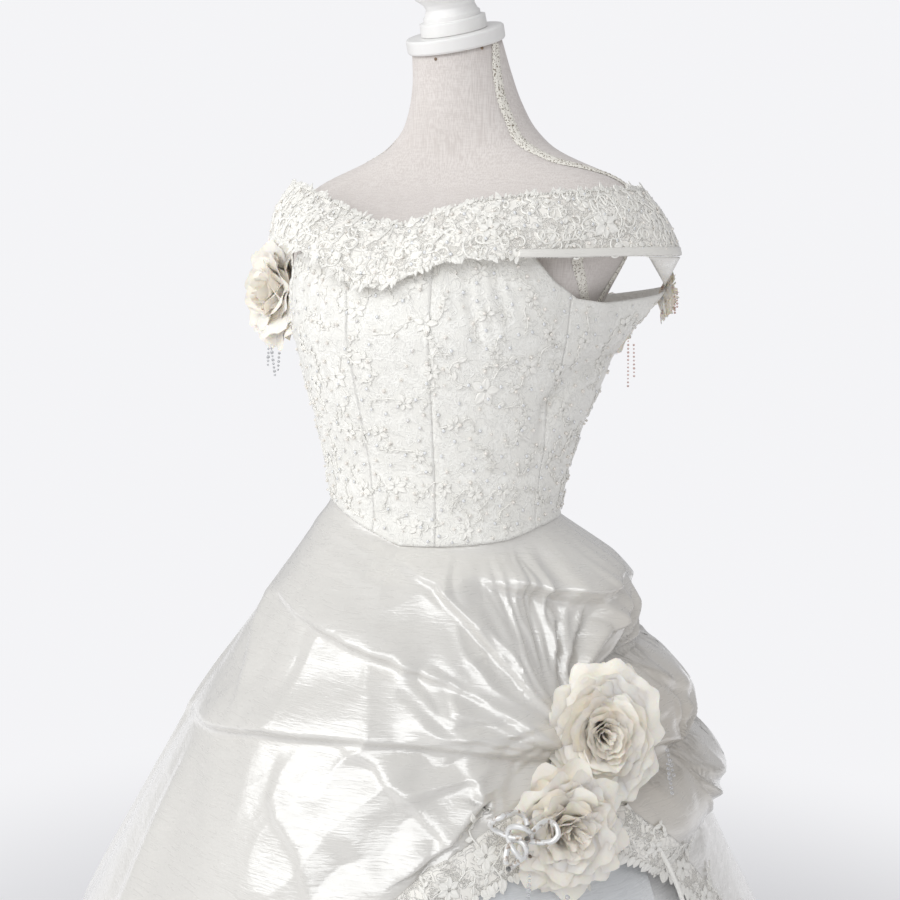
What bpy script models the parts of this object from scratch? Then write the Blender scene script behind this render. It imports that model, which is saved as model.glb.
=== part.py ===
"""Off-the-shoulder wedding dress standing on a limbless dress form.

Metres, +Z up. The origin is the middle of the stand's underside. The front of the dress faces -Y and
the garment's own left side is +X. Angles round the body are in degrees, 0 at the centre front and
growing towards +X. Every piece of cloth is an open panel worked out from its sizes, made into a
wall by a Solidify modifier.
"""
import math

import bmesh
import bpy
import numpy as np
from mathutils import Matrix, Vector
from mathutils.bvhtree import BVHTree

# Cloth
SATIN = 0.0020
ORGANZA = 0.0015
LACE = 0.0012
SEAM = 0.0006
WING_SEAM = 0.0018
GORE_SEAM = 0.0014
LAID_ON = 0.0003

# Stand
BASE_RADIUS = 0.165
BASE_HEIGHT = 0.030
POLE_RADIUS = 0.016
FORM_BOTTOM = 0.800
NECK_TOP = 1.515
NECK_LEAN = math.radians(20.0)
NECK_SIDE_LEAN = math.radians(2.5)
NECK_TOP_X = -0.001
NECK_TOP_Y = 0.015
CAP_RADIUS = 0.051
CAP_HEIGHT = 0.014
CAP_SEAT = 0.0005

# Dress form: height, half width, half depth, middle x, middle y, squareness
FORM_SECTIONS = (
    (0.800, 0.150, 0.110, 0.000, 0.010, 2.1),
    (0.860, 0.160, 0.118, 0.000, 0.008, 2.1),
    (0.930, 0.150, 0.110, 0.000, 0.004, 2.1),
    (0.990, 0.130, 0.096, 0.000, 0.000, 2.1),
    (1.045, 0.1216, 0.0930, 0.000, 0.000, 2.0),
    (1.100, 0.1260, 0.0965, 0.000, 0.000, 2.1),
    (1.160, 0.137, 0.107, 0.000, -0.003, 2.2),
    (1.220, 0.150, 0.116, 0.000, -0.004, 2.4),
    (1.262, 0.160, 0.112, 0.000, 0.008, 2.8),
    (1.305, 0.181, 0.100, 0.000, 0.018, 3.0),
    (1.345, 0.186, 0.078, 0.000, 0.028, 2.8),
    (1.366, 0.187, 0.060, 0.000, 0.036, 2.5),
    (1.382, 0.166, 0.055, 0.000, 0.042, 2.5),
    (1.396, 0.130, 0.056, 0.000, 0.046, 2.2),
    (1.412, 0.094, 0.057, 0.000, 0.048, 2.0),
    (1.436, 0.070, 0.056, 0.000, 0.043, 2.0),
    (1.462, 0.058, 0.052, 0.000, 0.034, 2.0),
    (1.488, 0.051, 0.048, 0.000, 0.025, 2.0),
    (1.515, 0.0465, 0.0465, -0.001, 0.015, 2.0),
)
LEAN_STARTS = 1.400

# Mean radii that turn a width on the cloth into an angle
BODICE_RADIUS = 0.145
WING_RADIUS = 0.200
SKIRT_RADIUS = 0.270
WAIST_RADIUS = 0.160
COLLAR_RADIUS = 0.150

# Bodice: height, half width, front depth, back depth, half width at the back, squareness of the back
BODICE_SECTIONS = (
    (1.000, 0.134, 0.104, 0.100, 0.134, 2.0),
    (1.040, 0.1255, 0.098, 0.096, 0.1255, 2.0),
    (1.090, 0.131, 0.105, 0.101, 0.134, 2.1),
    (1.130, 0.140, 0.116, 0.108, 0.146, 2.3),
    (1.180, 0.152, 0.130, 0.118, 0.165, 2.6),
    (1.220, 0.162, 0.140, 0.125, 0.177, 2.9),
    (1.270, 0.166, 0.138, 0.138, 0.188, 3.2),
    (1.320, 0.162, 0.128, 0.142, 0.190, 3.2),
)
FRONT_SQUARENESS = 2.25
FRONT_SEAM = 13.5
SIDE_SEAM = 69.0
WING_ANGLE = 126.0
WING_REACH = 0.040
WING_SPREAD = 26.0
WING_LOW = 1.185
WING_HIGH = 1.275
WING_STARTS = 70.0
WING_FULL = 100.0
BACK_STARTS = 62.0
BACK_FULL = 112.0

# Bodice edges: angle, height of the waist seam, height of the upper edge
BODICE_EDGES = (
    (-180, 1.040, 1.255),
    (-150, 1.041, 1.262),
    (-126, 1.043, 1.272),
    (-110, 1.046, 1.264),
    (-88, 1.049, 1.256),
    (-72, 1.050, 1.260),
    (-60, 1.048, 1.276),
    (-50, 1.043, 1.300),
    (-30, 1.033, 1.306),
    (-12, 1.021, 1.290),
    (-1, 1.012, 1.276),
    (14, 1.014, 1.300),
    (30, 1.017, 1.306),
    (50, 1.022, 1.300),
    (60, 1.027, 1.276),
    (72, 1.032, 1.260),
    (88, 1.035, 1.256),
    (110, 1.037, 1.264),
    (126, 1.038, 1.272),
    (150, 1.039, 1.262),
    (180, 1.040, 1.255),
)

# Creases in the bodice: depth, half width, then angle and height of each point along it
BODICE_CREASES = (
    (0.0090, 0.012, ((120, 1.250), (108, 1.210), (88, 1.193), (75, 1.176), (67, 1.155), (66, 1.130))),
    (0.0070, 0.012, ((-121, 1.246), (-106, 1.214), (-90, 1.190), (-77, 1.178), (-70, 1.150))),
    (0.0034, 0.006, ((24, 1.290), (27, 1.250), (31.5, 1.214))),
    (0.0028, 0.006, ((34, 1.290), (37, 1.262), (41, 1.238))),
    (0.0026, 0.006, ((-25, 1.290), (-29, 1.250), (-33, 1.222))),
    (0.0020, 0.006, ((-36, 1.292), (-39, 1.268), (-43, 1.250))),
    (0.0030, 0.009, ((150, 1.240), (140, 1.170), (134, 1.100))),
    (0.0026, 0.009, ((-146, 1.236), (-139, 1.180), (-131, 1.110))),
)

# Off-the-shoulder collar: angle, height of the upper edge, height of the lower edge
COLLAR_EDGES = (
    (-105, 1.372, 1.316),
    (-90, 1.376, 1.321),
    (-75, 1.377, 1.323),
    (-60, 1.375, 1.321),
    (-45, 1.370, 1.315),
    (-30, 1.357, 1.303),
    (-20, 1.344, 1.288),
    (-10, 1.333, 1.270),
    (0, 1.329, 1.267),
    (10, 1.341, 1.284),
    (20, 1.351, 1.296),
    (35, 1.357, 1.297),
    (50, 1.361, 1.298),
    (70, 1.366, 1.301),
    (90, 1.368, 1.303),
    (105, 1.371, 1.304),
)
COLLAR_END = 105.0
COLLAR_JOIN = 13.0
COLLAR_MIDDLE_Y = 0.030
COLLAR_TOP = (0.193, 0.128)
COLLAR_LOW = (0.209, 0.177)
COLLAR_SWELL = 0.006
COLLAR_FLARE_LEFT = 0.024
COLLAR_FLARE_RIGHT = -0.008
FLARE_STARTS = 50.0
FLARE_FULL = 92.0
BINDING_FROM = 0.87
TAB_LIFT = 3.0

# Skirt: height, right side, left side, front, back, for the overskirt's ground form
SKIRT_SECTIONS = (
    (0.000, 0.655, 0.630, 0.650, 0.720),
    (0.150, 0.595, 0.565, 0.595, 0.640),
    (0.300, 0.532, 0.492, 0.532, 0.560),
    (0.450, 0.467, 0.415, 0.462, 0.482),
    (0.585, 0.396, 0.346, 0.397, 0.412),
    (0.660, 0.354, 0.308, 0.358, 0.370),
    (0.735, 0.313, 0.272, 0.317, 0.328),
    (0.808, 0.272, 0.250, 0.273, 0.284),
    (0.860, 0.244, 0.224, 0.238, 0.248),
    (0.905, 0.216, 0.198, 0.206, 0.214),
    (0.945, 0.192, 0.180, 0.176, 0.182),
    (0.980, 0.168, 0.160, 0.147, 0.150),
    (1.010, 0.148, 0.142, 0.121, 0.122),
    (1.050, 0.126, 0.125, 0.0985, 0.0965),
)
UNDER_LAYER = 0.019
ORGANZA_LAYER = 0.008
ORGANZA_FROM = -8.0
ORGANZA_TO = 72.0
ORGANZA_MIDDLE = 50.0
ORGANZA_SPREAD = 0.10
ORGANZA_TUCK = 0.040
ORGANZA_HEM = 0.012
HEM_HEIGHT = 0.004
UNDER_DROP = 0.004
UNDER_AT_WAIST = 0.0023
UNDER_MEETS = 1.030
UNDER_PARTS = 0.950
FOLDS_FLAT = 1.045
FOLDS_FULL = 1.000

# Waves round the hem: reach at the floor, waves round the skirt, shift in degrees
HEM_WAVES = ((0.0110, 7, 20.0), (0.0080, 11, 75.0), (0.0045, 16, 40.0))
WAVES_START = 0.78
WAVES_GROW = 1.4

# Puffs at the left hip: top, bottom, reach
HIP_PUFFS = ((1.036, 0.905, 0.043), (0.905, 0.808, 0.042), (0.808, 0.722, 0.040))
PUFF_DROOP = 0.016
PUFF_HIGH = 0.6
PUFF_FAT = 0.8
PUFF_FROM = 54.0
PUFF_FULL = 84.0
PUFF_FADES = 112.0
PUFF_ENDS = 150.0

# Overskirt folds: reach, half width, then angle and height of each point along the fold
SKIRT_FOLDS = (
    (0.018, 0.015, ((-54, 1.028), (-18, 1.012), (3, 0.998), (18, 0.980), (33, 0.948), (51, 0.880))),
    (0.016, 0.017, ((-84, 0.916), (-60, 0.934), (-34, 0.954), (10, 0.923), (30, 0.903), (49, 0.864))),
    (0.017, 0.018, ((-86, 0.780), (-62, 0.800), (-41, 0.830), (-18, 0.850), (6, 0.862), (49, 0.850))),
    (0.012, 0.014, ((3, 0.855), (12, 0.835), (20, 0.805), (23, 0.768))),
    (0.011, 0.013, ((36, 0.830), (29, 0.798), (23, 0.766))),
    (0.011, 0.014, ((11, 1.000), (23, 0.992), (37, 0.980), (55, 0.970), (75, 0.974))),
    (0.009, 0.014, ((26, 0.966), (38, 0.934), (48, 0.894))),
    (0.010, 0.016, ((-17, 0.846), (-3, 0.808), (6, 0.764), (9, 0.720))),
    (0.008, 0.017, ((-44, 0.826), (-38, 0.740), (-35, 0.640), (-34, 0.520))),
    (0.008, 0.018, ((-62, 0.930), (-66, 0.840), (-70, 0.720), (-72, 0.560))),
    (0.016, 0.019, ((100, 1.000), (124, 0.972), (150, 0.962), (172, 0.986))),
    (0.018, 0.020, ((112, 0.860), (136, 0.850), (160, 0.872), (-176, 0.920), (-150, 0.972))),
    (0.018, 0.021, ((116, 0.742), (140, 0.742), (165, 0.782), (-170, 0.836), (-140, 0.900))),
    (0.010, 0.019, ((-118, 1.000), (-122, 0.900), (-124, 0.760), (-126, 0.600))),
    (0.009, 0.020, ((-100, 0.985), (-102, 0.860), (-104, 0.720), (-105, 0.560))),
)

# Overskirt lower edge, which opens below the roses: angle, height
OVERSKIRT_EDGE = (
    (-180, 0.010),
    (-52, 0.010),
    (-42, 0.050),
    (-32, 0.150),
    (-20, 0.330),
    (-8, 0.490),
    (4, 0.610),
    (15, 0.678),
    (26, 0.722),
    (38, 0.752),
    (48, 0.764),
    (58, 0.764),
    (66, 0.752),
    (74, 0.726),
    (82, 0.686),
    (94, 0.590),
    (106, 0.440),
    (118, 0.270),
    (130, 0.120),
    (144, 0.030),
    (156, 0.010),
    (180, 0.010),
)
FRONT_GORE_LEFT = 46.0
FRONT_GORE_RIGHT = -86.0
HIP_GORE_BACK = 112.0
# Where the rows of a long gore crowd towards the waist
TALL_FROM = 0.45
TALL_FULL = 0.75
TALL_ROWS = 1.7

TRIM_WIDTH = 0.046
TRIM_FROM = -51.0
TRIM_TO = 148.0

# Roses: name, centre, way it faces, radius, depth, turns
ROSES = (
    ("rose_hip_upper", (0.247, -0.150, 0.876), (0.72, -0.66, 0.22), 0.0520, 0.044, 2.8),
    ("rose_hip_lower", (0.226, -0.211, 0.798), (0.66, -0.74, 0.10), 0.0520, 0.040, 2.8),
    ("rose_shoulder_right", (-0.240, 0.028, 1.262), (-0.98, 0.10, 0.10), 0.0480, 0.050, 2.5),
    ("rose_shoulder_left", (0.150, 0.205, 1.252), (0.24, 0.97, 0.05), 0.0420, 0.040, 2.4),
)
PETAL = 0.0014

BUTTON_COUNT = 10
BUTTON_RADIUS = 0.0060
BUTTON_FLAT = 0.6
PLACKET_HALF = 5.0
PLACKET_TOP = 1.253
PLACKET_LOW = 1.0412
FLOUNCE_FROM = 82.0
FLOUNCE_TO = 126.0
FLOUNCE_RUFFLES = 9
FLOUNCE_WIDTH = 0.075
FLOUNCE_STANDS = 0.020
FLOUNCE_WAVE = 0.011
SEAT_BACK = 0.060
SEAT_STEP = 0.002


def material(name, colour, roughness, metallic=0.0):
    """A plain finish for one piece."""
    made = bpy.data.materials.new(name)
    made.use_nodes = True
    shader = made.node_tree.nodes["Principled BSDF"]
    shader.inputs["Base Color"].default_value = (*colour, 1.0)
    shader.inputs["Roughness"].default_value = roughness
    shader.inputs["Metallic"].default_value = metallic
    return made


def smooth(start, end, value):
    """Rise from 0 at start to 1 at end with soft shoulders."""
    t = np.clip((value - start) / (end - start), 0.0, 1.0)
    return t * t * (3.0 - 2.0 * t)


def column(table, index):
    """One named column of a table."""
    return [row[index] for row in table]


def along(table, index, value):
    """A column's value at a height or angle, read off the table."""
    return np.interp(value, column(table, 0), column(table, index))


def power(value, squareness):
    """Signed power that turns a circle into a squarer oval."""
    return np.sign(value) * np.abs(value) ** (2.0 / squareness)


def wrapped(angle):
    """An angle brought to between -180 and 180 degrees."""
    return (angle + 180.0) % 360.0 - 180.0


def crease_profile(table, angle, height, radius):
    """Sum of soft ridges that run along the given lines on a wall of about the given radius."""
    total = np.zeros(np.broadcast(angle, height).shape)
    for reach, half_width, line in table:
        nearest = np.full(total.shape, 1e9)
        share = np.zeros(total.shape)
        for number, ((a0, z0), (a1, z1)) in enumerate(zip(line, line[1:])):
            across = np.radians(wrapped(angle - a0)) * radius
            run = np.radians(wrapped(a1 - a0)) * radius
            rise = height - z0
            climb = z1 - z0
            t = np.clip((across * run + rise * climb) / (run * run + climb * climb), 0.0, 1.0)
            gap = np.hypot(across - t * run, rise - t * climb)
            closer = gap < nearest
            nearest = np.where(closer, gap, nearest)
            share = np.where(closer, (number + t) / (len(line) - 1), share)
        taper = smooth(-0.25, 0.25, share) * smooth(1.20, 0.80, share)
        total = total + reach * taper * np.exp(-((nearest / half_width) ** 2))
    return total


def bodice_point(angle, height):
    """A point on the outer face of the bodice."""
    angle = wrapped(np.asarray(angle, float))
    back_share = smooth(BACK_STARTS, BACK_FULL, np.abs(angle))
    side = along(BODICE_SECTIONS, 1, height)
    side = side + (along(BODICE_SECTIONS, 4, height) - side) * back_share
    square = FRONT_SQUARENESS + (along(BODICE_SECTIONS, 5, height) - FRONT_SQUARENESS) * back_share
    sine = np.sin(np.radians(angle))
    cosine = np.cos(np.radians(angle))
    depth = np.where(cosine > 0.0, along(BODICE_SECTIONS, 2, height), along(BODICE_SECTIONS, 3, height))
    wing = np.exp(-(((np.abs(angle) - WING_ANGLE) / WING_SPREAD) ** 2))
    wing = wing * smooth(WING_LOW, WING_HIGH, height) * smooth(WING_STARTS, WING_FULL, np.abs(angle))
    out = WING_REACH * wing - crease_profile(BODICE_CREASES, angle, height, BODICE_RADIUS)
    x = side * power(sine, square) + out * sine
    y = -depth * power(cosine, square) - out * cosine
    return np.stack([x, y, height + 0.0 * x], -1)


def collar_point(angle, down):
    """A point on the collar, from its upper edge (down 0) to its lower edge (down 1)."""
    sine = np.sin(np.radians(angle))
    cosine = np.cos(np.radians(angle))
    swell = COLLAR_SWELL * np.sin(math.pi * down)
    flare = COLLAR_FLARE_LEFT * smooth(FLARE_STARTS, FLARE_FULL, angle)
    flare = flare + COLLAR_FLARE_RIGHT * smooth(-FLARE_STARTS, -FLARE_FULL, angle)
    wide = COLLAR_TOP[0] + (COLLAR_LOW[0] + flare - COLLAR_TOP[0]) * down + swell
    deep = COLLAR_TOP[1] + (COLLAR_LOW[1] - COLLAR_TOP[1]) * down + swell
    top = along(COLLAR_EDGES, 1, angle)
    low = along(COLLAR_EDGES, 2, angle)
    return np.stack([wide * sine, COLLAR_MIDDLE_Y - deep * cosine, top + (low - top) * down], -1)


def hem_wave(angle, height):
    """How far the skirt's flutes stand out near the floor."""
    growth = np.clip(1.0 - height / WAVES_START, 0.0, 1.0) ** WAVES_GROW
    total = 0.0
    for reach, count, shift in HEM_WAVES:
        total = total + reach * np.cos(np.radians(count * angle + shift))
    return growth * total


def puff_share(angle):
    """How strongly the left hip's puffs show at an angle."""
    return smooth(PUFF_FROM, PUFF_FULL, angle) * smooth(PUFF_ENDS, PUFF_FADES, angle)


def skirt_point(angle, height, inside=0.0, dressed=True):
    """A point on the skirt: its ground form, moved in by a layer, or dressed with folds and puffs."""
    angle = wrapped(np.asarray(angle, float))
    sine = np.sin(np.radians(angle))
    cosine = np.cos(np.radians(angle))
    side = np.where(sine < 0.0, along(SKIRT_SECTIONS, 1, height), along(SKIRT_SECTIONS, 2, height))
    depth = np.where(cosine > 0.0, along(SKIRT_SECTIONS, 3, height), along(SKIRT_SECTIONS, 4, height))
    out = hem_wave(angle, height) - inside
    z = height + np.zeros(np.broadcast(angle, height).shape)
    if dressed:
        settled = smooth(FOLDS_FLAT, FOLDS_FULL, height)
        out = out + crease_profile(SKIRT_FOLDS, angle, height, SKIRT_RADIUS) * settled
        share = puff_share(angle)
        for top, bottom, reach in HIP_PUFFS:
            down = np.clip((top - height) / (top - bottom), 0.0, 1.0)
            roll = np.sin(math.pi * down ** PUFF_HIGH) ** PUFF_FAT
            out = out + share * reach * roll
            z = z - share * PUFF_DROOP * roll * roll
    return np.stack([(side + out) * sine, -(depth + out) * cosine, z], -1)


def grid_mesh(name, points):
    """A mesh through rows of points; rows run downwards and columns towards growing angles."""
    rows, columns = points.shape[:2]
    faces = []
    for i in range(rows - 1):
        for j in range(columns - 1):
            a = i * columns + j
            faces.append((a, a + columns, a + columns + 1, a + 1))
    mesh = bpy.data.meshes.new(name)
    mesh.from_pydata(points.reshape(-1, 3).tolist(), [], faces)
    return mesh


def grid_normals(points):
    """Outward directions at each point of a grid."""
    down = np.gradient(points, axis=0)
    across = np.gradient(points, axis=1)
    normal = np.cross(down, across)
    return normal / np.linalg.norm(normal, axis=-1, keepdims=True)


def wall(name, points, thickness, finish):
    """A piece of cloth: a grid of points on its outer face, thickened inwards."""
    mesh = grid_mesh(name, points)
    piece = bpy.data.objects.new(name, mesh)
    parts.objects.link(piece)
    mesh.materials.append(finish)
    mesh.shade_smooth()
    solid = piece.modifiers.new("Wall", "SOLIDIFY")
    solid.thickness = thickness
    solid.offset = -1.0
    return piece


def rows_between(top, bottom, count):
    """Rows of heights from top to bottom."""
    return top + (bottom - top) * np.linspace(0.0, 1.0, count)[:, None]


def turned(name, outline, finish, steps=32):
    """A turned piece: an outline at +X, top to bottom, swept round Z."""
    mesh = bpy.data.meshes.new(name)
    points = [(radius, 0.0, height) for radius, height in outline]
    mesh.from_pydata(points, [(i, i + 1) for i in range(len(points) - 1)], [])
    mesh.materials.append(finish)
    piece = bpy.data.objects.new(name, mesh)
    parts.objects.link(piece)
    screw = piece.modifiers.new("Turn", "SCREW")
    screw.steps = steps
    screw.render_steps = steps
    screw.use_merge_vertices = True
    screw.merge_threshold = 0.0001
    return piece


def make_stand():
    """Round base and pole under the skirt."""
    step = BASE_HEIGHT * 0.45
    outline = (
        (0.0, BASE_HEIGHT),
        (POLE_RADIUS * 1.6, BASE_HEIGHT),
        (BASE_RADIUS * 0.55, BASE_HEIGHT * 0.86),
        (BASE_RADIUS * 0.90, BASE_HEIGHT * 0.62),
        (BASE_RADIUS * 0.985, step),
        (BASE_RADIUS, step * 0.6),
        (BASE_RADIUS, 0.0),
        (0.0, 0.0),
    )
    turned("stand_base", outline, white_paint, 32)
    low = BASE_HEIGHT + LAID_ON
    high = FORM_BOTTOM - LAID_ON
    place = (0.0, 0.0, (low + high) / 2.0)
    bpy.ops.mesh.primitive_cylinder_add(vertices=24, radius=POLE_RADIUS, depth=high - low, location=place)
    pole = bpy.context.object
    pole.name = "stand_pole"
    pole.data.materials.append(white_paint)
    parts.objects.link(pole)
    bpy.context.collection.objects.unlink(pole)


def form_ring(row, count):
    """One ring of the dress form, tilted with the neck above the shoulders."""
    height, wide, deep, x, y, square = row
    turn = np.radians(np.arange(count) * 360.0 / count)
    sine = np.sin(turn)
    cosine = np.cos(turn)
    share = float(smooth(LEAN_STARTS, NECK_TOP, height))
    lean = NECK_LEAN * share
    side = NECK_SIDE_LEAN * share
    across = wide * power(sine, square)
    along_y = -deep * power(cosine, square)
    z = height + along_y * math.sin(lean) + across * math.sin(side)
    return np.stack([x + across * math.cos(side), y + along_y * math.cos(lean), z], -1)


def make_form():
    """The torso and neck, one smooth closed body."""
    count = 24
    rings = np.array([form_ring(row, count) for row in reversed(FORM_SECTIONS)])
    mesh = bpy.data.meshes.new("form_torso")
    shape = bmesh.new()
    corners = [[shape.verts.new(point) for point in ring] for ring in rings.tolist()]
    for upper, lower in zip(corners, corners[1:]):
        for j in range(count):
            k = (j + 1) % count
            shape.faces.new((upper[j], lower[j], lower[k], upper[k]))
    shape.faces.new(corners[0])
    shape.faces.new(list(reversed(corners[-1])))
    shape.to_mesh(mesh)
    shape.free()
    mesh.materials.append(linen)
    mesh.shade_smooth()
    mesh.set_sharp_from_angle(angle=math.radians(50.0))
    parts.objects.link(bpy.data.objects.new("form_torso", mesh))


def make_finial():
    """The neck cap and the turned finial, both square to the leaning neck."""
    turn = Matrix.Rotation(NECK_LEAN, 4, "X") @ Matrix.Rotation(-NECK_SIDE_LEAN, 4, "Y")
    seat_point = Vector((NECK_TOP_X, NECK_TOP_Y, NECK_TOP))
    cap_outline = (
        (0.0, CAP_HEIGHT),
        (CAP_RADIUS * 0.94, CAP_HEIGHT),
        (CAP_RADIUS, CAP_HEIGHT * 0.80),
        (CAP_RADIUS, CAP_HEIGHT * 0.15),
        (CAP_RADIUS * 0.975, 0.0),
        (0.0, 0.0),
    )
    cap = turned("neck_cap", cap_outline, white_paint, 24)
    cap.matrix_world = Matrix.Translation(seat_point + turn @ Vector((0.0, 0.0, CAP_SEAT))) @ turn
    finial_outline = (
        (0.0, 0.086),
        (0.014, 0.083),
        (0.025, 0.072),
        (0.032, 0.058),
        (0.0375, 0.048),
        (0.038, 0.042),
        (0.034, 0.036),
        (0.027, 0.03),
        (0.025, 0.025),
        (0.0275, 0.019),
        (0.0295, 0.0175),
        (0.0295, 0.0135),
        (0.034, 0.0125),
        (0.0345, 0.0),
        (0.0, 0.0),
    )
    finial = turned("neck_finial", finial_outline, white_paint, 16)
    lift = turn @ Vector((0.0, 0.0, CAP_SEAT + CAP_HEIGHT + LAID_ON))
    finial.matrix_world = Matrix.Translation(seat_point + lift) @ turn


def bodice_grid(start, end, columns, rows):
    """Points of one bodice panel between two angles."""
    angle = np.linspace(start, end, columns)[None, :]
    low = along(BODICE_EDGES, 1, angle) + SEAM / 2.0
    high = along(BODICE_EDGES, 2, angle)
    height = rows_between(high, low, rows)
    return bodice_point(angle, height)


def make_bodice():
    """Seven panels: centre front, two side fronts, two side backs and two backs."""
    gap = math.degrees(SEAM / BODICE_RADIUS) / 2.0
    wing_gap = math.degrees(WING_SEAM / WING_RADIUS) / 2.0
    wall("bodice_front_centre", bodice_grid(-FRONT_SEAM + gap, FRONT_SEAM - gap, 6, 11), SATIN, ivory_satin)
    for side, sign in (("right", -1.0), ("left", 1.0)):
        spans = (
            ("bodice_front_" + side, FRONT_SEAM + gap, SIDE_SEAM - gap, 13, 11),
            ("bodice_side_" + side, SIDE_SEAM + gap, WING_ANGLE - wing_gap, 10, 10),
            ("bodice_back_" + side, WING_ANGLE + wing_gap, 180.0 - gap, 8, 10),
        )
        for name, near, far, columns, rows in spans:
            start, end = sorted((sign * near, sign * far))
            wall(name, bodice_grid(start, end, columns, rows), SATIN, ivory_satin)


def make_closure():
    """Placket over the centre back with a row of covered buttons."""
    angle = 180.0 + np.linspace(-PLACKET_HALF, PLACKET_HALF, 5)[None, :]
    points = bodice_point(angle, rows_between(np.full(angle.shape, PLACKET_TOP), PLACKET_LOW, 10))
    points = points + np.array((0.0, SATIN + 2.0 * LAID_ON, 0.0))
    placket = wall("back_placket", points, SATIN * 0.7, ivory_satin)
    seat(placket, [bpy.data.objects["bodice_back_left"], bpy.data.objects["bodice_back_right"]], (0, -1, 0))
    pitch = (PLACKET_TOP - PLACKET_LOW) / BUTTON_COUNT
    for number in range(BUTTON_COUNT):
        height = PLACKET_LOW + pitch * (number + 0.5)
        place = (0.0, float(bodice_point(180.0, height)[1]) + SEAT_BACK / 2.0, height)
        bpy.ops.mesh.primitive_uv_sphere_add(segments=8, ring_count=4, radius=BUTTON_RADIUS, location=place)
        button = bpy.context.object
        button.name = f"back_button_{number + 1:02d}"
        button.data.transform(Matrix.Diagonal((1.0, BUTTON_FLAT, 1.0, 1.0)))
        button.data.materials.append(ivory_satin)
        button.data.shade_smooth()
        parts.objects.link(button)
        bpy.context.collection.objects.unlink(button)
        seat(button, [placket], (0, -1, 0))


def collar_grid(start, end, columns):
    """Points of a stretch of the collar, with a row where the binding begins."""
    angle = np.linspace(start, end, columns)[None, :]
    down = np.append(np.linspace(0.0, BINDING_FROM, 5), 1.0)[:, None]
    return collar_point(angle, down)


def make_collar():
    """Lace collar in two overlapping lengths, its satin binding and the tabs down to the wings."""
    gap = math.degrees(SEAM / COLLAR_RADIUS) / 2.0
    right = collar_grid(-COLLAR_END, COLLAR_JOIN - gap, 22)
    left = collar_grid(COLLAR_JOIN + gap, COLLAR_END, 17)
    wall("collar_lace_right", right, LACE, lace)
    wall("collar_lace_left", left, LACE, lace)
    out = grid_normals(left)[-2:] * (LAID_ON + SATIN * 0.6)
    wall("collar_binding", left[-2:] + out, SATIN * 0.6, ivory_satin)
    for side, edge, sign in (("right", right[-1, :4], -1.0), ("left", left[-1, -4:], 1.0)):
        near = SIDE_SEAM + math.degrees(SEAM / BODICE_RADIUS) / 2.0
        far = WING_ANGLE - math.degrees(WING_SEAM / WING_RADIUS) / 2.0
        angles = np.linspace(*sorted((sign * near, sign * far)), 10)
        pair = angles[-2:] if sign > 0 else angles[:2]
        ends = bodice_point(pair, along(BODICE_EDGES, 2, pair))
        drop = np.array((0.0, 0.0, SEAM))
        upper = edge - drop * TAB_LIFT
        lower = np.array([ends[0] + (ends[1] - ends[0]) * share for share in (0.1, 0.3, 0.6, 0.9)])
        lower = lower + drop * TAB_LIFT
        points = np.array([upper + (lower - upper) * share for share in (0.0, 0.3, 0.65, 1.0)])
        wall("collar_tab_" + side, points, LACE, ivory_satin)


def overskirt_angles(start, end, columns):
    """Column angles of one overskirt gore, with half a seam left open at each side."""
    gap = math.degrees(GORE_SEAM / WAIST_RADIUS) / 2.0
    return np.linspace(start + gap, end - gap, columns)[None, :]


def overskirt_grid(start, end, columns, rows):
    """Points of one overskirt gore, from the waist seam down to its edge."""
    angle = overskirt_angles(start, end, columns)
    top = along(BODICE_EDGES, 1, wrapped(angle)) - SEAM / 2.0
    bottom = along(OVERSKIRT_EDGE, 1, wrapped(angle))
    reach = bottom + TRIM_WIDTH - top
    shares = np.linspace(0.0, 1.0, rows)[:, None]
    tall = smooth(TALL_FROM, TALL_FULL, top - bottom)
    shares = shares + (shares ** TALL_ROWS - shares) * tall
    height = np.vstack([top + reach * shares, bottom + TRIM_WIDTH / 2.0, bottom])
    return skirt_point(angle, height), angle[0]


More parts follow.
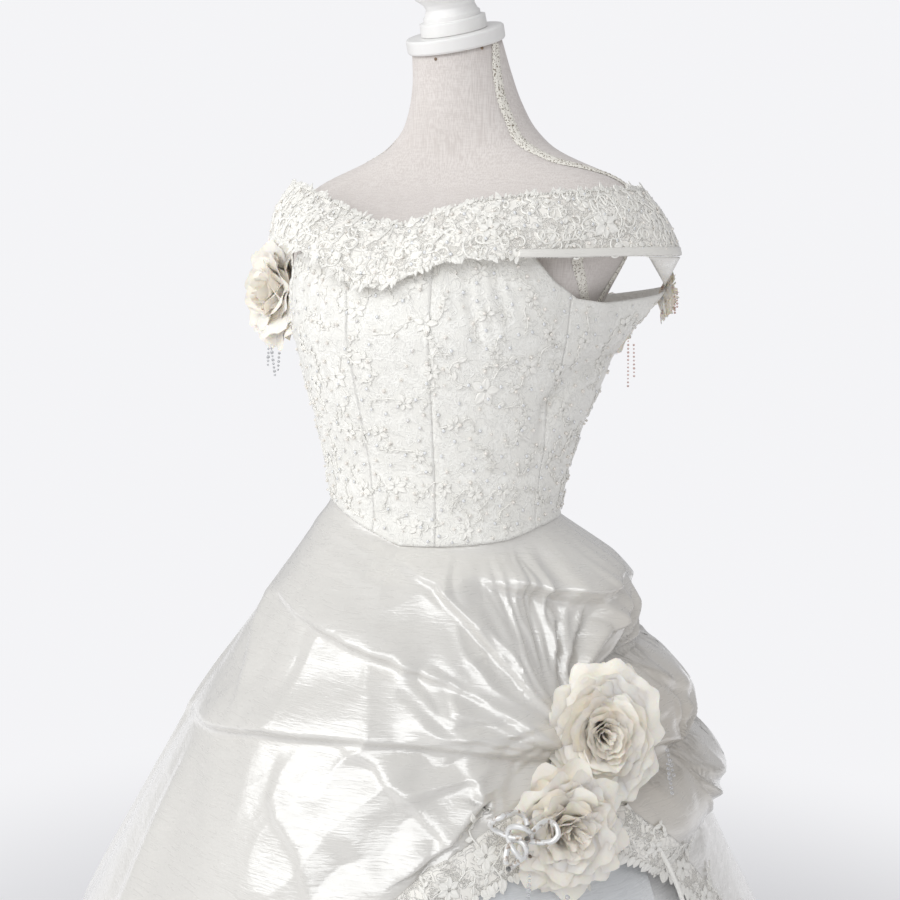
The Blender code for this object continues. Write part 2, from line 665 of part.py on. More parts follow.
def make_skirt():
    """Overskirt gores with their lace edging, the organza layer and the underskirt gores."""
    gores = (
        ("overskirt_front", FRONT_GORE_RIGHT, FRONT_GORE_LEFT, 31, 20),
        ("overskirt_hip_left", FRONT_GORE_LEFT, HIP_GORE_BACK, 16, 20),
        ("overskirt_back_left", HIP_GORE_BACK, 180.0, 12, 20),
        ("overskirt_back_right", 180.0, 360.0 + FRONT_GORE_RIGHT, 16, 13),
    )
    trims = {"overskirt_front": "front", "overskirt_hip_left": "hip", "overskirt_back_left": "back"}
    for name, start, end, columns, rows in gores:
        points, angle = overskirt_grid(start, end, columns, rows)
        wall(name, points, ORGANZA, organza)
        if name in trims:
            chosen = (angle > TRIM_FROM) & (angle < TRIM_TO)
            out = grid_normals(points) * (LACE + 2.0 * LAID_ON)
            edging = (points + out)[-3:, chosen]
            wall("lace_edging_" + trims[name], edging, LACE, lace)
    angle = np.linspace(ORGANZA_FROM, ORGANZA_TO, 16)[None, :]
    top = along(OVERSKIRT_EDGE, 1, angle) + ORGANZA_TUCK
    share = np.linspace(0.0, 1.0, 8)[:, None]
    height = top + (ORGANZA_HEM - top) * share
    spread = angle + (angle - ORGANZA_MIDDLE) * ORGANZA_SPREAD * share
    inside = UNDER_AT_WAIST + (ORGANZA_LAYER - UNDER_AT_WAIST) * smooth(0.0, 0.3, share)
    layer = skirt_point(spread, height, inside, dressed=False)
    wall("organza_layer", layer, ORGANZA, blue_organza)
    for name, start in (("front", -45.0), ("left", 45.0), ("back", 135.0), ("right", -135.0)):
        angle = overskirt_angles(start, start + 90.0, 11)
        top = along(BODICE_EDGES, 1, wrapped(angle)) - UNDER_DROP
        height = top + (HEM_HEIGHT - top) * np.linspace(0.0, 1.0, 9)[:, None] ** 1.5
        inside = UNDER_AT_WAIST + (UNDER_LAYER - UNDER_AT_WAIST) * smooth(UNDER_MEETS, UNDER_PARTS, height)
        wall("underskirt_" + name, skirt_point(angle, height, inside, dressed=False), ORGANZA, lining)


def rose_mesh(name, radius, depth, turns):
    """A rolled strip of cloth, wound outwards and opening towards its rim."""
    steps = int(round(turns * 14))
    share = np.linspace(0.0, 1.0, steps + 1)
    turn = 2.0 * math.pi * turns * share
    core = 0.12 * radius
    ring = core + (0.80 * radius - core) * share
    rows = []
    for up in (1.0, 0.55, 0.0):
        flare = 0.20 * radius * up ** 2 * (0.25 + 0.75 * share)
        ripple = 0.035 * radius * up * np.sin(5.0 * turn + 0.6)
        around = ring + flare + ripple
        lift = depth * (up * (1.0 - 0.42 * share ** 2) - 0.5)
        rows.append(np.stack([around * np.cos(turn), -around * np.sin(turn), lift], -1))
    return grid_mesh(name, np.array(rows))


def make_roses():
    """Rolled organza roses at the left hip and at both shoulders."""
    hip = ("overskirt_front", "overskirt_hip_left", "lace_edging_front", "lace_edging_hip")
    carriers = {
        "rose_hip_upper": hip,
        "rose_hip_lower": hip + ("rose_hip_upper",),
        "rose_shoulder_right": ("bodice_side_right", "collar_tab_right", "collar_lace_right"),
        "rose_shoulder_left": ("bodice_side_left", "bodice_back_left", "collar_tab_left"),
    }
    for name, centre, facing, radius, depth, turns in ROSES:
        mesh = rose_mesh(name, radius, depth, turns)
        aim = Vector(facing).normalized()
        turn = aim.to_track_quat("Z", "Y").to_matrix().to_4x4()
        mesh.transform(Matrix.Translation(Vector(centre)) @ turn)
        mesh.materials.append(rose_cloth)
        mesh.shade_smooth()
        rose = bpy.data.objects.new(name, mesh)
        parts.objects.link(rose)
        solid = rose.modifiers.new("Wall", "SOLIDIFY")
        solid.thickness = PETAL
        solid.offset = 0.0
        seat(rose, [bpy.data.objects[carrier] for carrier in carriers[name]], tuple(-aim))


def solid_mesh(piece):
    """A piece's points and faces as built, in world space."""
    graph = bpy.context.evaluated_depsgraph_get()
    built = piece.evaluated_get(graph)
    mesh = built.to_mesh()
    points = [built.matrix_world @ vertex.co for vertex in mesh.vertices]
    faces = [tuple(face.vertices) for face in mesh.polygons]
    built.to_mesh_clear()
    return points, faces


def seat(piece, carriers, direction):
    """Slide a piece along a direction until it lies just off the pieces that carry it."""
    way = Vector(direction).normalized()
    bpy.context.view_layer.update()
    points, faces = solid_mesh(piece)
    trees = [BVHTree.FromPolygons(*solid_mesh(carrier)) for carrier in carriers]

    def touches(distance):
        moved = BVHTree.FromPolygons([point + way * distance for point in points], faces)
        return any(moved.overlap(tree) for tree in trees)

    free = -SEAT_BACK
    while free < SEAT_BACK and not touches(free + SEAT_STEP):
        free += SEAT_STEP
    step = SEAT_STEP / 2.0
    while step > SEAT_STEP / 64.0:
        if not touches(free + step):
            free += step
        step /= 2.0
    piece.data.transform(Matrix.Translation(way * (free - LAID_ON)))


def flounce_grid(columns):
    """A ruffled strip that springs from the overskirt's opening edge and falls over the skirt below."""
    share = np.linspace(0.0, 1.0, columns)
    angle = FLOUNCE_FROM + (FLOUNCE_TO - FLOUNCE_FROM) * share
    edge = along(OVERSKIRT_EDGE, 1, angle)
    outward = np.stack([np.sin(np.radians(angle)), -np.cos(np.radians(angle)), np.zeros(columns)], -1)
    ground = skirt_point(angle, edge, dressed=False)
    root = skirt_point(angle, edge)
    proud = np.sum((root - ground) * outward, axis=-1)
    sunk = root[:, 2] - edge
    rows = []
    for down in (0.0, 0.33, 0.67, 1.0):
        wave = FLOUNCE_WAVE * np.sin(2.0 * math.pi * FLOUNCE_RUFFLES * share) * down
        out = proud * (1.0 - down) + FLOUNCE_STANDS * down + wave - ORGANZA * 0.5 * (1.0 - down)
        line = skirt_point(angle, edge - FLOUNCE_WIDTH * down, dressed=False) + outward * out[:, None]
        line[:, 2] += sunk * (1.0 - down) - 2.0 * SEAM
        rows.append(line)
    return np.array(rows)


def make_flounce():
    """The ruffled flounce, brought up to just below the overskirt's edge."""
    flounce = wall("flounce_left", flounce_grid(4 * FLOUNCE_RUFFLES + 1), ORGANZA, organza)
    names = ("overskirt_hip_left", "overskirt_back_left", "lace_edging_hip", "lace_edging_back")
    seat(flounce, [bpy.data.objects[name] for name in names], (0, 0, 1))


for item in list(bpy.data.objects):
    bpy.data.objects.remove(item, do_unlink=True)

parts = bpy.data.collections.new("wedding dress on dress form")
bpy.context.scene.collection.children.link(parts)

white_paint = material("White painted wood", (0.86, 0.85, 0.83), 0.42)
linen = material("Natural linen", (0.66, 0.62, 0.58), 0.90)
ivory_satin = material("Ivory satin", (0.80, 0.77, 0.70), 0.45)
lace = material("Ivory corded lace", (0.78, 0.74, 0.66), 0.75)
organza = material("Ivory crystal organza", (0.74, 0.71, 0.65), 0.30)
blue_organza = material("Pale sheer organza", (0.80, 0.82, 0.84), 0.30)
lining = material("Ivory underskirt", (0.76, 0.74, 0.70), 0.60)
rose_cloth = material("Cream rose organza", (0.80, 0.70, 0.56), 0.55)

make_stand()
make_form()
make_finial()
make_bodice()
make_closure()
make_collar()
make_skirt()
make_roses()
make_flounce()
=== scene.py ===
"""Looks of the wedding dress on its dress form.

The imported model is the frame. Every soft node is stood for by a finer piece worked out from the part's own
sizes, in metres, +Z up, the front of the dress towards -Y and its own left side at +X.
Angles round the body are in degrees, 0 at the centre front and growing towards +X.
"""
import math

import bmesh
import bpy
import numpy as np
from mathutils import Matrix, Vector, noise
from mathutils.bvhtree import BVHTree


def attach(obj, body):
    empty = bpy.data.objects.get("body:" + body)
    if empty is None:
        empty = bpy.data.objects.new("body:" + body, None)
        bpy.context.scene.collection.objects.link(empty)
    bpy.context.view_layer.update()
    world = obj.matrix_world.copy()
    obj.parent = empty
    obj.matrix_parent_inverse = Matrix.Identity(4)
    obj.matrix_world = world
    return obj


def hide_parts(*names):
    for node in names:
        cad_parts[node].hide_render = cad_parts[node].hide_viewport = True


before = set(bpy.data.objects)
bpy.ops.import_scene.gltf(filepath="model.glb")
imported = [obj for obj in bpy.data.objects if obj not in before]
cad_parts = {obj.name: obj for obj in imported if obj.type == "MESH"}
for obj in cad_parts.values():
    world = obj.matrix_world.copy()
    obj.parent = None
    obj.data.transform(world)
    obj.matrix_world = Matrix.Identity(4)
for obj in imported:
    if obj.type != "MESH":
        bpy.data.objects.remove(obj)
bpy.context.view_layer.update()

# Cloth
SATIN = 0.0020
ORGANZA = 0.0015
LACE = 0.0012
SEAM = 0.0006
WING_SEAM = 0.0018
LAID_ON = 0.0003

# Stand
BASE_RADIUS = 0.165
BASE_HEIGHT = 0.030
POLE_RADIUS = 0.016
FORM_BOTTOM = 0.800
NECK_TOP = 1.515
NECK_LEAN = math.radians(20.0)
NECK_SIDE_LEAN = math.radians(2.5)
NECK_TOP_X = -0.001
NECK_TOP_Y = 0.015
CAP_RADIUS = 0.051
CAP_HEIGHT = 0.014
CAP_SEAT = 0.0005

# Dress form: height, half width, half depth, middle x, middle y, squareness
FORM_SECTIONS = (
    (0.800, 0.150, 0.110, 0.000, 0.010, 2.1),
    (0.860, 0.160, 0.118, 0.000, 0.008, 2.1),
    (0.930, 0.150, 0.110, 0.000, 0.004, 2.1),
    (0.990, 0.130, 0.096, 0.000, 0.000, 2.1),
    (1.045, 0.1216, 0.0930, 0.000, 0.000, 2.0),
    (1.100, 0.1260, 0.0965, 0.000, 0.000, 2.1),
    (1.160, 0.137, 0.107, 0.000, -0.003, 2.2),
    (1.220, 0.150, 0.116, 0.000, -0.004, 2.4),
    (1.262, 0.160, 0.112, 0.000, 0.008, 2.8),
    (1.305, 0.181, 0.100, 0.000, 0.018, 3.0),
    (1.345, 0.186, 0.078, 0.000, 0.028, 2.8),
    (1.366, 0.187, 0.060, 0.000, 0.036, 2.5),
    (1.382, 0.166, 0.055, 0.000, 0.042, 2.5),
    (1.396, 0.130, 0.056, 0.000, 0.046, 2.2),
    (1.412, 0.094, 0.057, 0.000, 0.048, 2.0),
    (1.436, 0.070, 0.056, 0.000, 0.043, 2.0),
    (1.462, 0.058, 0.052, 0.000, 0.034, 2.0),
    (1.488, 0.051, 0.048, 0.000, 0.025, 2.0),
    (1.515, 0.0465, 0.0465, -0.001, 0.015, 2.0),
)
LEAN_STARTS = 1.400

# Mean radii that turn a width on the cloth into an angle
BODICE_RADIUS = 0.145
WING_RADIUS = 0.200
SKIRT_RADIUS = 0.270
COLLAR_ROUND = 0.190

# Bodice: height, half width, front depth, back depth, half width at the back, squareness of the back
BODICE_SECTIONS = (
    (1.000, 0.134, 0.104, 0.100, 0.134, 2.0),
    (1.040, 0.1255, 0.098, 0.096, 0.1255, 2.0),
    (1.090, 0.131, 0.105, 0.101, 0.134, 2.1),
    (1.130, 0.140, 0.116, 0.108, 0.146, 2.3),
    (1.180, 0.152, 0.130, 0.118, 0.165, 2.6),
    (1.220, 0.162, 0.140, 0.125, 0.177, 2.9),
    (1.270, 0.166, 0.138, 0.138, 0.188, 3.2),
    (1.320, 0.162, 0.128, 0.142, 0.190, 3.2),
)
FRONT_SQUARENESS = 2.25
FRONT_SEAM = 13.5
SIDE_SEAM = 69.0
WING_ANGLE = 126.0
WING_REACH = 0.040
WING_SPREAD = 26.0
WING_LOW = 1.185
WING_HIGH = 1.275
WING_STARTS = 70.0
WING_FULL = 100.0
BACK_STARTS = 62.0
BACK_FULL = 112.0

# Bodice edges: angle, height of the waist seam, height of the upper edge
BODICE_EDGES = (
    (-180, 1.040, 1.255),
    (-150, 1.041, 1.262),
    (-126, 1.043, 1.272),
    (-110, 1.046, 1.264),
    (-88, 1.049, 1.256),
    (-72, 1.050, 1.260),
    (-60, 1.048, 1.276),
    (-50, 1.043, 1.300),
    (-30, 1.033, 1.306),
    (-12, 1.021, 1.290),
    (-1, 1.012, 1.276),
    (14, 1.014, 1.300),
    (30, 1.017, 1.306),
    (50, 1.022, 1.300),
    (60, 1.027, 1.276),
    (72, 1.032, 1.260),
    (88, 1.035, 1.256),
    (110, 1.037, 1.264),
    (126, 1.038, 1.272),
    (150, 1.039, 1.262),
    (180, 1.040, 1.255),
)

# Creases in the bodice: depth, half width, then angle and height of each point along it
BODICE_CREASES = (
    (0.0090, 0.012, ((120, 1.250), (108, 1.210), (88, 1.193), (75, 1.176), (67, 1.155), (66, 1.130))),
    (0.0070, 0.012, ((-121, 1.246), (-106, 1.214), (-90, 1.190), (-77, 1.178), (-70, 1.150))),
    (0.0034, 0.006, ((24, 1.290), (27, 1.250), (31.5, 1.214))),
    (0.0028, 0.006, ((34, 1.290), (37, 1.262), (41, 1.238))),
    (0.0026, 0.006, ((-25, 1.290), (-29, 1.250), (-33, 1.222))),
    (0.0020, 0.006, ((-36, 1.292), (-39, 1.268), (-43, 1.250))),
    (0.0030, 0.009, ((150, 1.240), (140, 1.170), (134, 1.100))),
    (0.0026, 0.009, ((-146, 1.236), (-139, 1.180), (-131, 1.110))),
)

# Off-the-shoulder collar: angle, height of the upper edge, height of the lower edge
COLLAR_EDGES = (
    (-105, 1.372, 1.316),
    (-90, 1.376, 1.321),
    (-75, 1.377, 1.323),
    (-60, 1.375, 1.321),
    (-45, 1.370, 1.315),
    (-30, 1.357, 1.303),
    (-20, 1.344, 1.288),
    (-10, 1.333, 1.270),
    (0, 1.329, 1.267),
    (10, 1.341, 1.284),
    (20, 1.351, 1.296),
    (35, 1.357, 1.297),
    (50, 1.361, 1.298),
    (70, 1.366, 1.301),
    (90, 1.368, 1.303),
    (105, 1.371, 1.304),
)
COLLAR_END = 105.0
COLLAR_JOIN = 13.0
COLLAR_MIDDLE_Y = 0.030
COLLAR_TOP = (0.193, 0.128)
COLLAR_LOW = (0.209, 0.177)
COLLAR_SWELL = 0.006
COLLAR_FLARE_LEFT = 0.024
COLLAR_FLARE_RIGHT = -0.008
FLARE_STARTS = 50.0
FLARE_FULL = 92.0
BINDING_FROM = 0.87
BINDING_SHOWS = 36.0
BINDING_THICK = SATIN * 0.6
BINDING_PUFF = 0.0008
TAB_LIFT = 3.0
TAB_WIDE = {"right": 14.5, "left": 29.0}

# Skirt: height, right side, left side, front, back, for the overskirt's ground form
SKIRT_SECTIONS = (
    (0.000, 0.655, 0.630, 0.650, 0.720),
    (0.150, 0.595, 0.565, 0.595, 0.640),
    (0.300, 0.532, 0.492, 0.532, 0.560),
    (0.450, 0.467, 0.415, 0.462, 0.482),
    (0.585, 0.396, 0.346, 0.397, 0.412),
    (0.660, 0.354, 0.308, 0.358, 0.370),
    (0.735, 0.313, 0.272, 0.317, 0.328),
    (0.808, 0.272, 0.250, 0.273, 0.284),
    (0.860, 0.244, 0.224, 0.238, 0.248),
    (0.905, 0.216, 0.198, 0.206, 0.214),
    (0.945, 0.192, 0.180, 0.176, 0.182),
    (0.980, 0.168, 0.160, 0.147, 0.150),
    (1.010, 0.148, 0.142, 0.121, 0.122),
    (1.050, 0.126, 0.125, 0.0985, 0.0965),
)
UNDER_LAYER = 0.019
ORGANZA_LAYER = 0.008
ORGANZA_FROM = -8.0
ORGANZA_TO = 72.0
ORGANZA_MIDDLE = 50.0
ORGANZA_SPREAD = 0.10
ORGANZA_TUCK = 0.040
ORGANZA_HEM = 0.012
HEM_HEIGHT = 0.004
UNDER_DROP = 0.004
UNDER_AT_WAIST = 0.0023
UNDER_MEETS = 1.030
UNDER_PARTS = 0.950
UNDER_CROWDS = 1.3

# Waves round the hem: reach at the floor, waves round the skirt, shift in degrees
HEM_WAVES = ((0.0110, 7, 20.0), (0.0080, 11, 75.0), (0.0045, 16, 40.0))
WAVES_START = 0.78
WAVES_GROW = 1.4

# Puffs at the left hip: top, bottom, reach
HIP_PUFFS = ((1.036, 0.905, 0.043), (0.905, 0.808, 0.042), (0.808, 0.722, 0.040))
PUFF_DROOP = 0.016
PUFF_HIGH = 0.6
PUFF_FAT = 0.8
PUFF_UNEVEN = 0.09
PUFF_FROM = 54.0
PUFF_FULL = 84.0
PUFF_FADES = 112.0
PUFF_ENDS = 150.0

# Overskirt lower edge, which opens below the roses: angle, height
OVERSKIRT_EDGE = (
    (-180, 0.010),
    (-52, 0.010),
    (-42, 0.050),
    (-32, 0.150),
    (-20, 0.330),
    (-8, 0.490),
    (4, 0.610),
    (15, 0.678),
    (26, 0.722),
    (38, 0.752),
    (48, 0.764),
    (58, 0.764),
    (66, 0.752),
    (74, 0.726),
    (82, 0.686),
    (94, 0.590),
    (106, 0.440),
    (118, 0.270),
    (130, 0.120),
    (144, 0.030),
    (156, 0.010),
    (180, 0.010),
)
FRONT_GORE_LEFT = 46.0
FRONT_GORE_RIGHT = -86.0
HIP_GORE_BACK = 112.0

# Lengths from which the rows of a gore crowd towards the waist, and how strongly
TALL_FROM = 0.45
TALL_FULL = 0.75
TALL_CROWDS = 1.35

# How the skirt comes out from under the bodice
TUCK_UP = 0.008
WAIST_INSET = 0.0024
UNDER_INSET = 0.0060
WAIST_RUN = 0.034
WAIST_SPRING = 0.55

# Lace edging along the opening; its columns are counted in each degree
TRIM_WIDTH = 0.046
TRIM_FROM = -51.0
TRIM_TO = 148.0
TRIM_COLUMNS = 2.4

# Roses: node, centre, way it faces, radius, depth, tallness, petals, how crumpled they are
ROSES = (
    ("rose_hip_upper", (0.2270, -0.1370, 0.8650), (0.50, -0.84, 0.22), 0.0520, 0.056, 1.16, 40, 0.30),
    ("rose_hip_lower", (0.2202, -0.2044, 0.7971), (0.66, -0.74, 0.10), 0.0540, 0.046, 0.92, 34, 0.9),
    ("rose_shoulder_right", (-0.2060, -0.0140, 1.2610), (-0.50, -0.86, 0.10), 0.0520, 0.052, 1.12, 34, 0.6),
    ("rose_shoulder_left", (0.1190, 0.1680, 1.2330), (0.24, 0.97, 0.05), 0.0320, 0.040, 1.0, 24, 0.6),
)
TUFT = ((0.2040, 0.1110, 1.2600), (0.90, 0.40, -0.15), 0.0150, 0.020, 1.5, 22, 1.0)

FLOUNCE_FROM = 82.0
FLOUNCE_TO = 126.0
FLOUNCE_RUFFLES = 9
FLOUNCE_WIDTH = 0.075
FLOUNCE_STANDS = 0.020
FLOUNCE_WAVE = 0.011
FLOUNCE_FRILL = 0.0022

# Photograph: the camera's angle round the dress and its distance from the middle, both on the level,
# its height, tilt and roll, and the focal length in pixels of a 900 pixel frame
CAMERA_AROUND = 25.0
CAMERA_AWAY = 1.35
CAMERA_HIGH = 1.275
CAMERA_TILT = 7.5
CAMERA_TURN = -0.18
CAMERA_ROLL = 0.8
FOCAL_PIXELS = 1283.0
FRAME_PIXELS = 900.0
SENSOR = 36.0

# Crisp folds of the overskirt: reach, half width, sharpness of the lower side, then angle and height
# of each point along the fold
SKIRT_TUCKS = (
    (0.016, 0.026, 0.22,
     ((-54, 1.028), (-18, 1.012), (3, 1.003), (20, 0.990), (33, 0.958), (43, 0.923), (53, 0.881))),
    (0.015, 0.028, 0.24,
     ((-70, 0.940), (-42, 0.959), (-7, 0.941), (11, 0.928), (27, 0.913), (41, 0.888), (53, 0.856))),
    (0.016, 0.030, 0.20,
     ((-78, 0.800), (-50, 0.831), (-33, 0.842), (-17, 0.856), (8, 0.866), (29, 0.862), (50, 0.848))),
    (0.006, 0.012, 0.30, ((-3, 0.862), (12, 0.844), (21, 0.814), (29, 0.788))),
    (0.007, 0.011, 0.25, ((28, 0.863), (34, 0.830), (35, 0.814), (29, 0.788), (22, 0.764))),
    (0.006, 0.012, 0.35, ((11, 0.918), (22, 0.895), (31, 0.870), (48, 0.856))),
    (0.006, 0.010, 0.30, ((27, 0.907), (29, 0.889), (36, 0.881), (50, 0.856))),
    (0.012, 0.018, 0.45, ((18, 1.006), (33, 0.998), (49, 0.986), (64, 0.980), (80, 0.990))),
    (0.010, 0.013, 0.35, ((36, 1.004), (48, 0.993), (59, 0.984), (72, 0.990), (94, 1.004))),
    (0.005, 0.008, 0.50, ((55, 0.990), (61, 0.953), (58, 0.924), (55, 0.893))),
    (0.012, 0.014, 0.25, ((98, 0.996), (84, 0.962), (72, 0.928), (63, 0.900))),
    (0.008, 0.022, 0.60, ((-44, 0.826), (-38, 0.740), (-35, 0.640), (-34, 0.520))),
    (0.008, 0.024, 0.60, ((-62, 0.930), (-66, 0.840), (-70, 0.720), (-72, 0.560))),
    (0.006, 0.016, 0.50, ((-64, 0.960), (-50, 0.930), (-38, 0.900), (-30, 0.872))),
    (0.005, 0.012, 0.40, ((-11, 0.844), (-9, 0.804), (1, 0.768), (5, 0.735), (6, 0.690))),
    (0.015, 0.026, 0.30, ((100, 1.000), (124, 0.972), (150, 0.962), (172, 0.986))),
    (0.017, 0.030, 0.26, ((112, 0.860), (136, 0.850), (160, 0.872), (-176, 0.920), (-150, 0.972))),
    (0.017, 0.032, 0.24, ((116, 0.742), (140, 0.742), (165, 0.782), (-170, 0.836), (-140, 0.900))),
    (0.007, 0.013, 0.35, ((118, 0.930), (134, 0.902), (152, 0.902), (168, 0.930))),
    (0.007, 0.014, 0.35, ((120, 0.800), (140, 0.790), (158, 0.806), (176, 0.846))),
    (0.010, 0.026, 0.55, ((-118, 1.000), (-122, 0.900), (-124, 0.760), (-126, 0.600))),
    (0.009, 0.026, 0.55, ((-100, 0.985), (-102, 0.860), (-104, 0.720), (-105, 0.560))),
    (0.007, 0.020, 0.50, ((-146, 0.960), (-150, 0.840), (-152, 0.700), (-151, 0.540))),
    (0.016, 0.017, 0.45, ((169, 0.930), (172, 0.740), (175, 0.500), (173, 0.180))),
    (0.013, 0.015, 0.40, ((-170, 0.700), (-173, 0.520), (-171, 0.330), (-172, 0.120))),
    (0.018, 0.018, 0.45, ((-156, 0.880), (-161, 0.680), (-163, 0.420), (-161, 0.140))),
    (0.015, 0.017, 0.40, ((-136, 0.900), (-141, 0.700), (-144, 0.440), (-143, 0.160))),
    (0.012, 0.014, 0.50, ((-128, 0.660), (-130, 0.480), (-128, 0.280), (-129, 0.100))),
    (0.017, 0.018, 0.45, ((-108, 0.860), (-112, 0.640), (-115, 0.400), (-114, 0.140))),
    (0.013, 0.016, 0.40, ((-92, 0.900), (-95, 0.700), (-97, 0.460), (-96, 0.200))),
    (0.011, 0.014, 0.45, ((158, 0.700), (160, 0.520), (159, 0.330), (160, 0.140))),
    (0.013, 0.015, 0.50, ((143, 0.640), (146, 0.460), (148, 0.280), (149, 0.120))),
)

# How far below the waist seam the folds and crumples reach their full depth
FOLDS_SETTLE = 0.024

# Where the organza is crumpled: angle, height, spread in degrees, spread in metres, strength
CRUMPLED = (
    (18.0, 0.900, 34.0, 0.130, 1.00),
    (14.0, 0.790, 26.0, 0.080, 0.90),
    (88.0, 0.880, 28.0, 0.150, 1.25),
    (62.0, 0.960, 24.0, 0.060, 0.90),
    (150.0, 0.880, 34.0, 0.130, 0.80),
    (-130.0, 0.930, 26.0, 0.080, 0.55),
    (-70.0, 0.930, 20.0, 0.060, 0.30),
)
CRUMPLE_DEEP = 0.0060
CRUMPLE_SIZE = 0.060
CRUMPLE_FAN = 2.6
CRUMPLE_LONG = 0.115
CRUMPLE_FOLDS = 2.4
CRUMPLE_TURNS = (-96.0, 108.0)
GATHERED_AT = ((54.0, 0.872), (150.0, 0.905))
CRUMPLE_CALM = 0.16
CRUMPLE_LEAST = 0.02

# Painted shade on the puffs: the organza is drawn darker and warmer towards the garment's left, up to where
# its back begins, and upwards, where the puffs' side lies away from the light
PUFF_SHADE = (0.16, 0.29)
PUFF_SHADE_BACK = (-0.02, 0.14)
PUFF_SHADE_LOW = (0.70, 0.84)

# Gathers at the waist seam: how many round the waist, their depth, how far down they run, how soon they start
# below the seam, and the angles from the front at which they begin and are full
GATHERS = 46
GATHER_DEEP = 0.0016
GATHER_RUN = 0.060
GATHER_STARTS = 0.010
GATHER_FROM = 62.0
GATHER_FULL = 100.0

# Fans of pleats: angle and height of the gather, waves in a turn, depth, distances at which they are
# full and where they fade, lowest and highest heading in degrees, 0 to the garment's left
FANS = (
    (57.0, 0.868, 17, 0.0052, 0.035, 0.120, -45.0, 78.0),
    (84.0, 0.905, 15, 0.0056, 0.030, 0.090, -30.0, 60.0),
    (55.0, 0.872, 13, 0.0026, 0.050, 0.150, 120.0, 178.0),
    (88.0, 0.806, 15, 0.0052, 0.030, 0.090, -60.0, 70.0),
    (150.0, 0.905, 14, 0.0046, 0.050, 0.110, -170.0, 60.0),
    (120.0, 0.800, 15, 0.0040, 0.040, 0.100, -60.0, 120.0),
)

# Extra creases in the bodice: depth, half width, then angle and height of each point along it
BODICE_WRINKLES = (
    (0.0016, 0.0035, ((19, 1.292), (21, 1.262), (23, 1.238))),
    (0.0018, 0.0036, ((28.5, 1.296), (31, 1.262), (36, 1.228))),
    (0.0014, 0.0032, ((39, 1.290), (42, 1.268), (46, 1.250))),
    (0.0013, 0.0032, ((-20, 1.292), (-23, 1.264), (-26, 1.240))),
    (0.0015, 0.0034, ((-31, 1.296), (-34, 1.268), (-38, 1.238))),
    (0.0010, 0.0040, ((20, 1.060), (34, 1.052), (50, 1.056))),
    (0.0010, 0.0040, ((-22, 1.074), (-36, 1.066), (-54, 1.072))),
    (0.0012, 0.0042, ((40, 1.092), (54, 1.084), (66, 1.094))),
    (0.0022, 0.0050, ((104, 1.226), (92, 1.206), (80, 1.196), (70, 1.182))),
    (0.0016, 0.0045, ((100, 1.178), (86, 1.166), (72, 1.140))),
    (0.0018, 0.0045, ((-100, 1.182), (-86, 1.170), (-72, 1.146))),
    (0.0014, 0.0040, ((96, 1.120), (82, 1.104), (70, 1.090))),
    (0.0014, 0.0040, ((-98, 1.120), (-84, 1.108), (-72, 1.096))),
    (0.0012, 0.0040, ((128, 1.150), (142, 1.142), (158, 1.150))),
    (0.0012, 0.0040, ((-130, 1.140), (-144, 1.134), (-160, 1.142))),
    (0.0012, 0.0040, ((132, 1.082), (148, 1.076), (164, 1.084))),
)
SEAM_SINK = 0.0002
SEAM_HALF = 0.0016

# Gimp braid on the dress form, for its left side: points from the neck over the shoulder, then round the
# armhole. On the right side the neck's run lies further back.
NECK_BRAID = (
    (0.0450, 0.0080, 1.517), (0.0455, 0.0078, 1.500), (0.0470, 0.0078, 1.486), (0.0518, 0.0112, 1.458),
    (0.0595, 0.0148, 1.437), (0.0706, 0.0137, 1.417), (0.0947, 0.0141, 1.403), (0.1139, 0.0147, 1.395),
    (0.1388, 0.0226, 1.389), (0.1641, 0.0324, 1.382), (0.1800, 0.0360, 1.370),
)
ARMHOLE_BRAID = (
    (0.1800, 0.0360, 1.370), (0.1820, 0.0060, 1.345), (0.1740, -0.0300, 1.320), (0.1592, -0.0495, 1.299),
    (0.1594, -0.0396, 1.278), (0.1562, -0.0166, 1.256), (0.1560, 0.0070, 1.248), (0.1580, 0.0200, 1.260),
    (0.1660, 0.0350, 1.290), (0.1770, 0.0480, 1.330), (0.1820, 0.0520, 1.360), (0.1800, 0.0360, 1.370),
)
BRAID_HALF = 0.0060
BRAID_HIGH = 0.0019
BRAID_PITCH = 0.0052
BRAID_STEP = 0.0009
BRAID_BACK = 0.026
NECK_PINS = ((-0.0044, -0.0272, 1.4956), (0.0376, -0.0087, 1.5068), (-0.0210, 0.0520, 1.5180))
NECK_PIN_RADIUS = 0.0017

# Cords across a lace petal: place from edge to edge, and height as a share of the relief
PETAL_RELIEF = ((-1.0, 0.0), (-0.80, 1.0), (-0.45, 0.35), (0.0, 0.70), (0.45, 0.35), (0.80, 1.0), (1.0, 0.0))
CORD_RELIEF = ((-1.0, 0.0), (0.0, 1.0), (1.0, 0.0))

# Large flowers of the lace where the photograph shows them: angle, height, length of a petal; then the height
# of the lace's relief, and how its smaller flowers are scattered and shaped
BODICE_FLOWERS = ((34.5, 1.172, 0.013), (12.0, 1.235, 0.009), (52.0, 1.195, 0.010), (-22.0, 1.180, 0.011))
COLLAR_FLOWERS = (
    (61.5, 1.330, 0.013), (27.0, 1.323, 0.009), (-35.0, 1.330, 0.010), (84.0, 1.335, 0.010),
    (-60.0, 1.345, 0.010), (-82.0, 1.350, 0.010),
)
LACE_RELIEF = 0.0014
COLLAR_RELIEF = 0.0017
EDGING_RELIEF = 0.0012
MOTIF_HUB = 0.0016
BODICE_MOTIFS = {"tries": 2600, "spacing": 0.036, "margin": 0.010}
COLLAR_MOTIFS = {"tries": 2400, "spacing": 0.021, "margin": 0.005}
COLLAR_FLOWER_STYLE = {"tendrils": 5, "leaves": 1, "thick": 0.0009, "curl": (3.6, 5.6)}
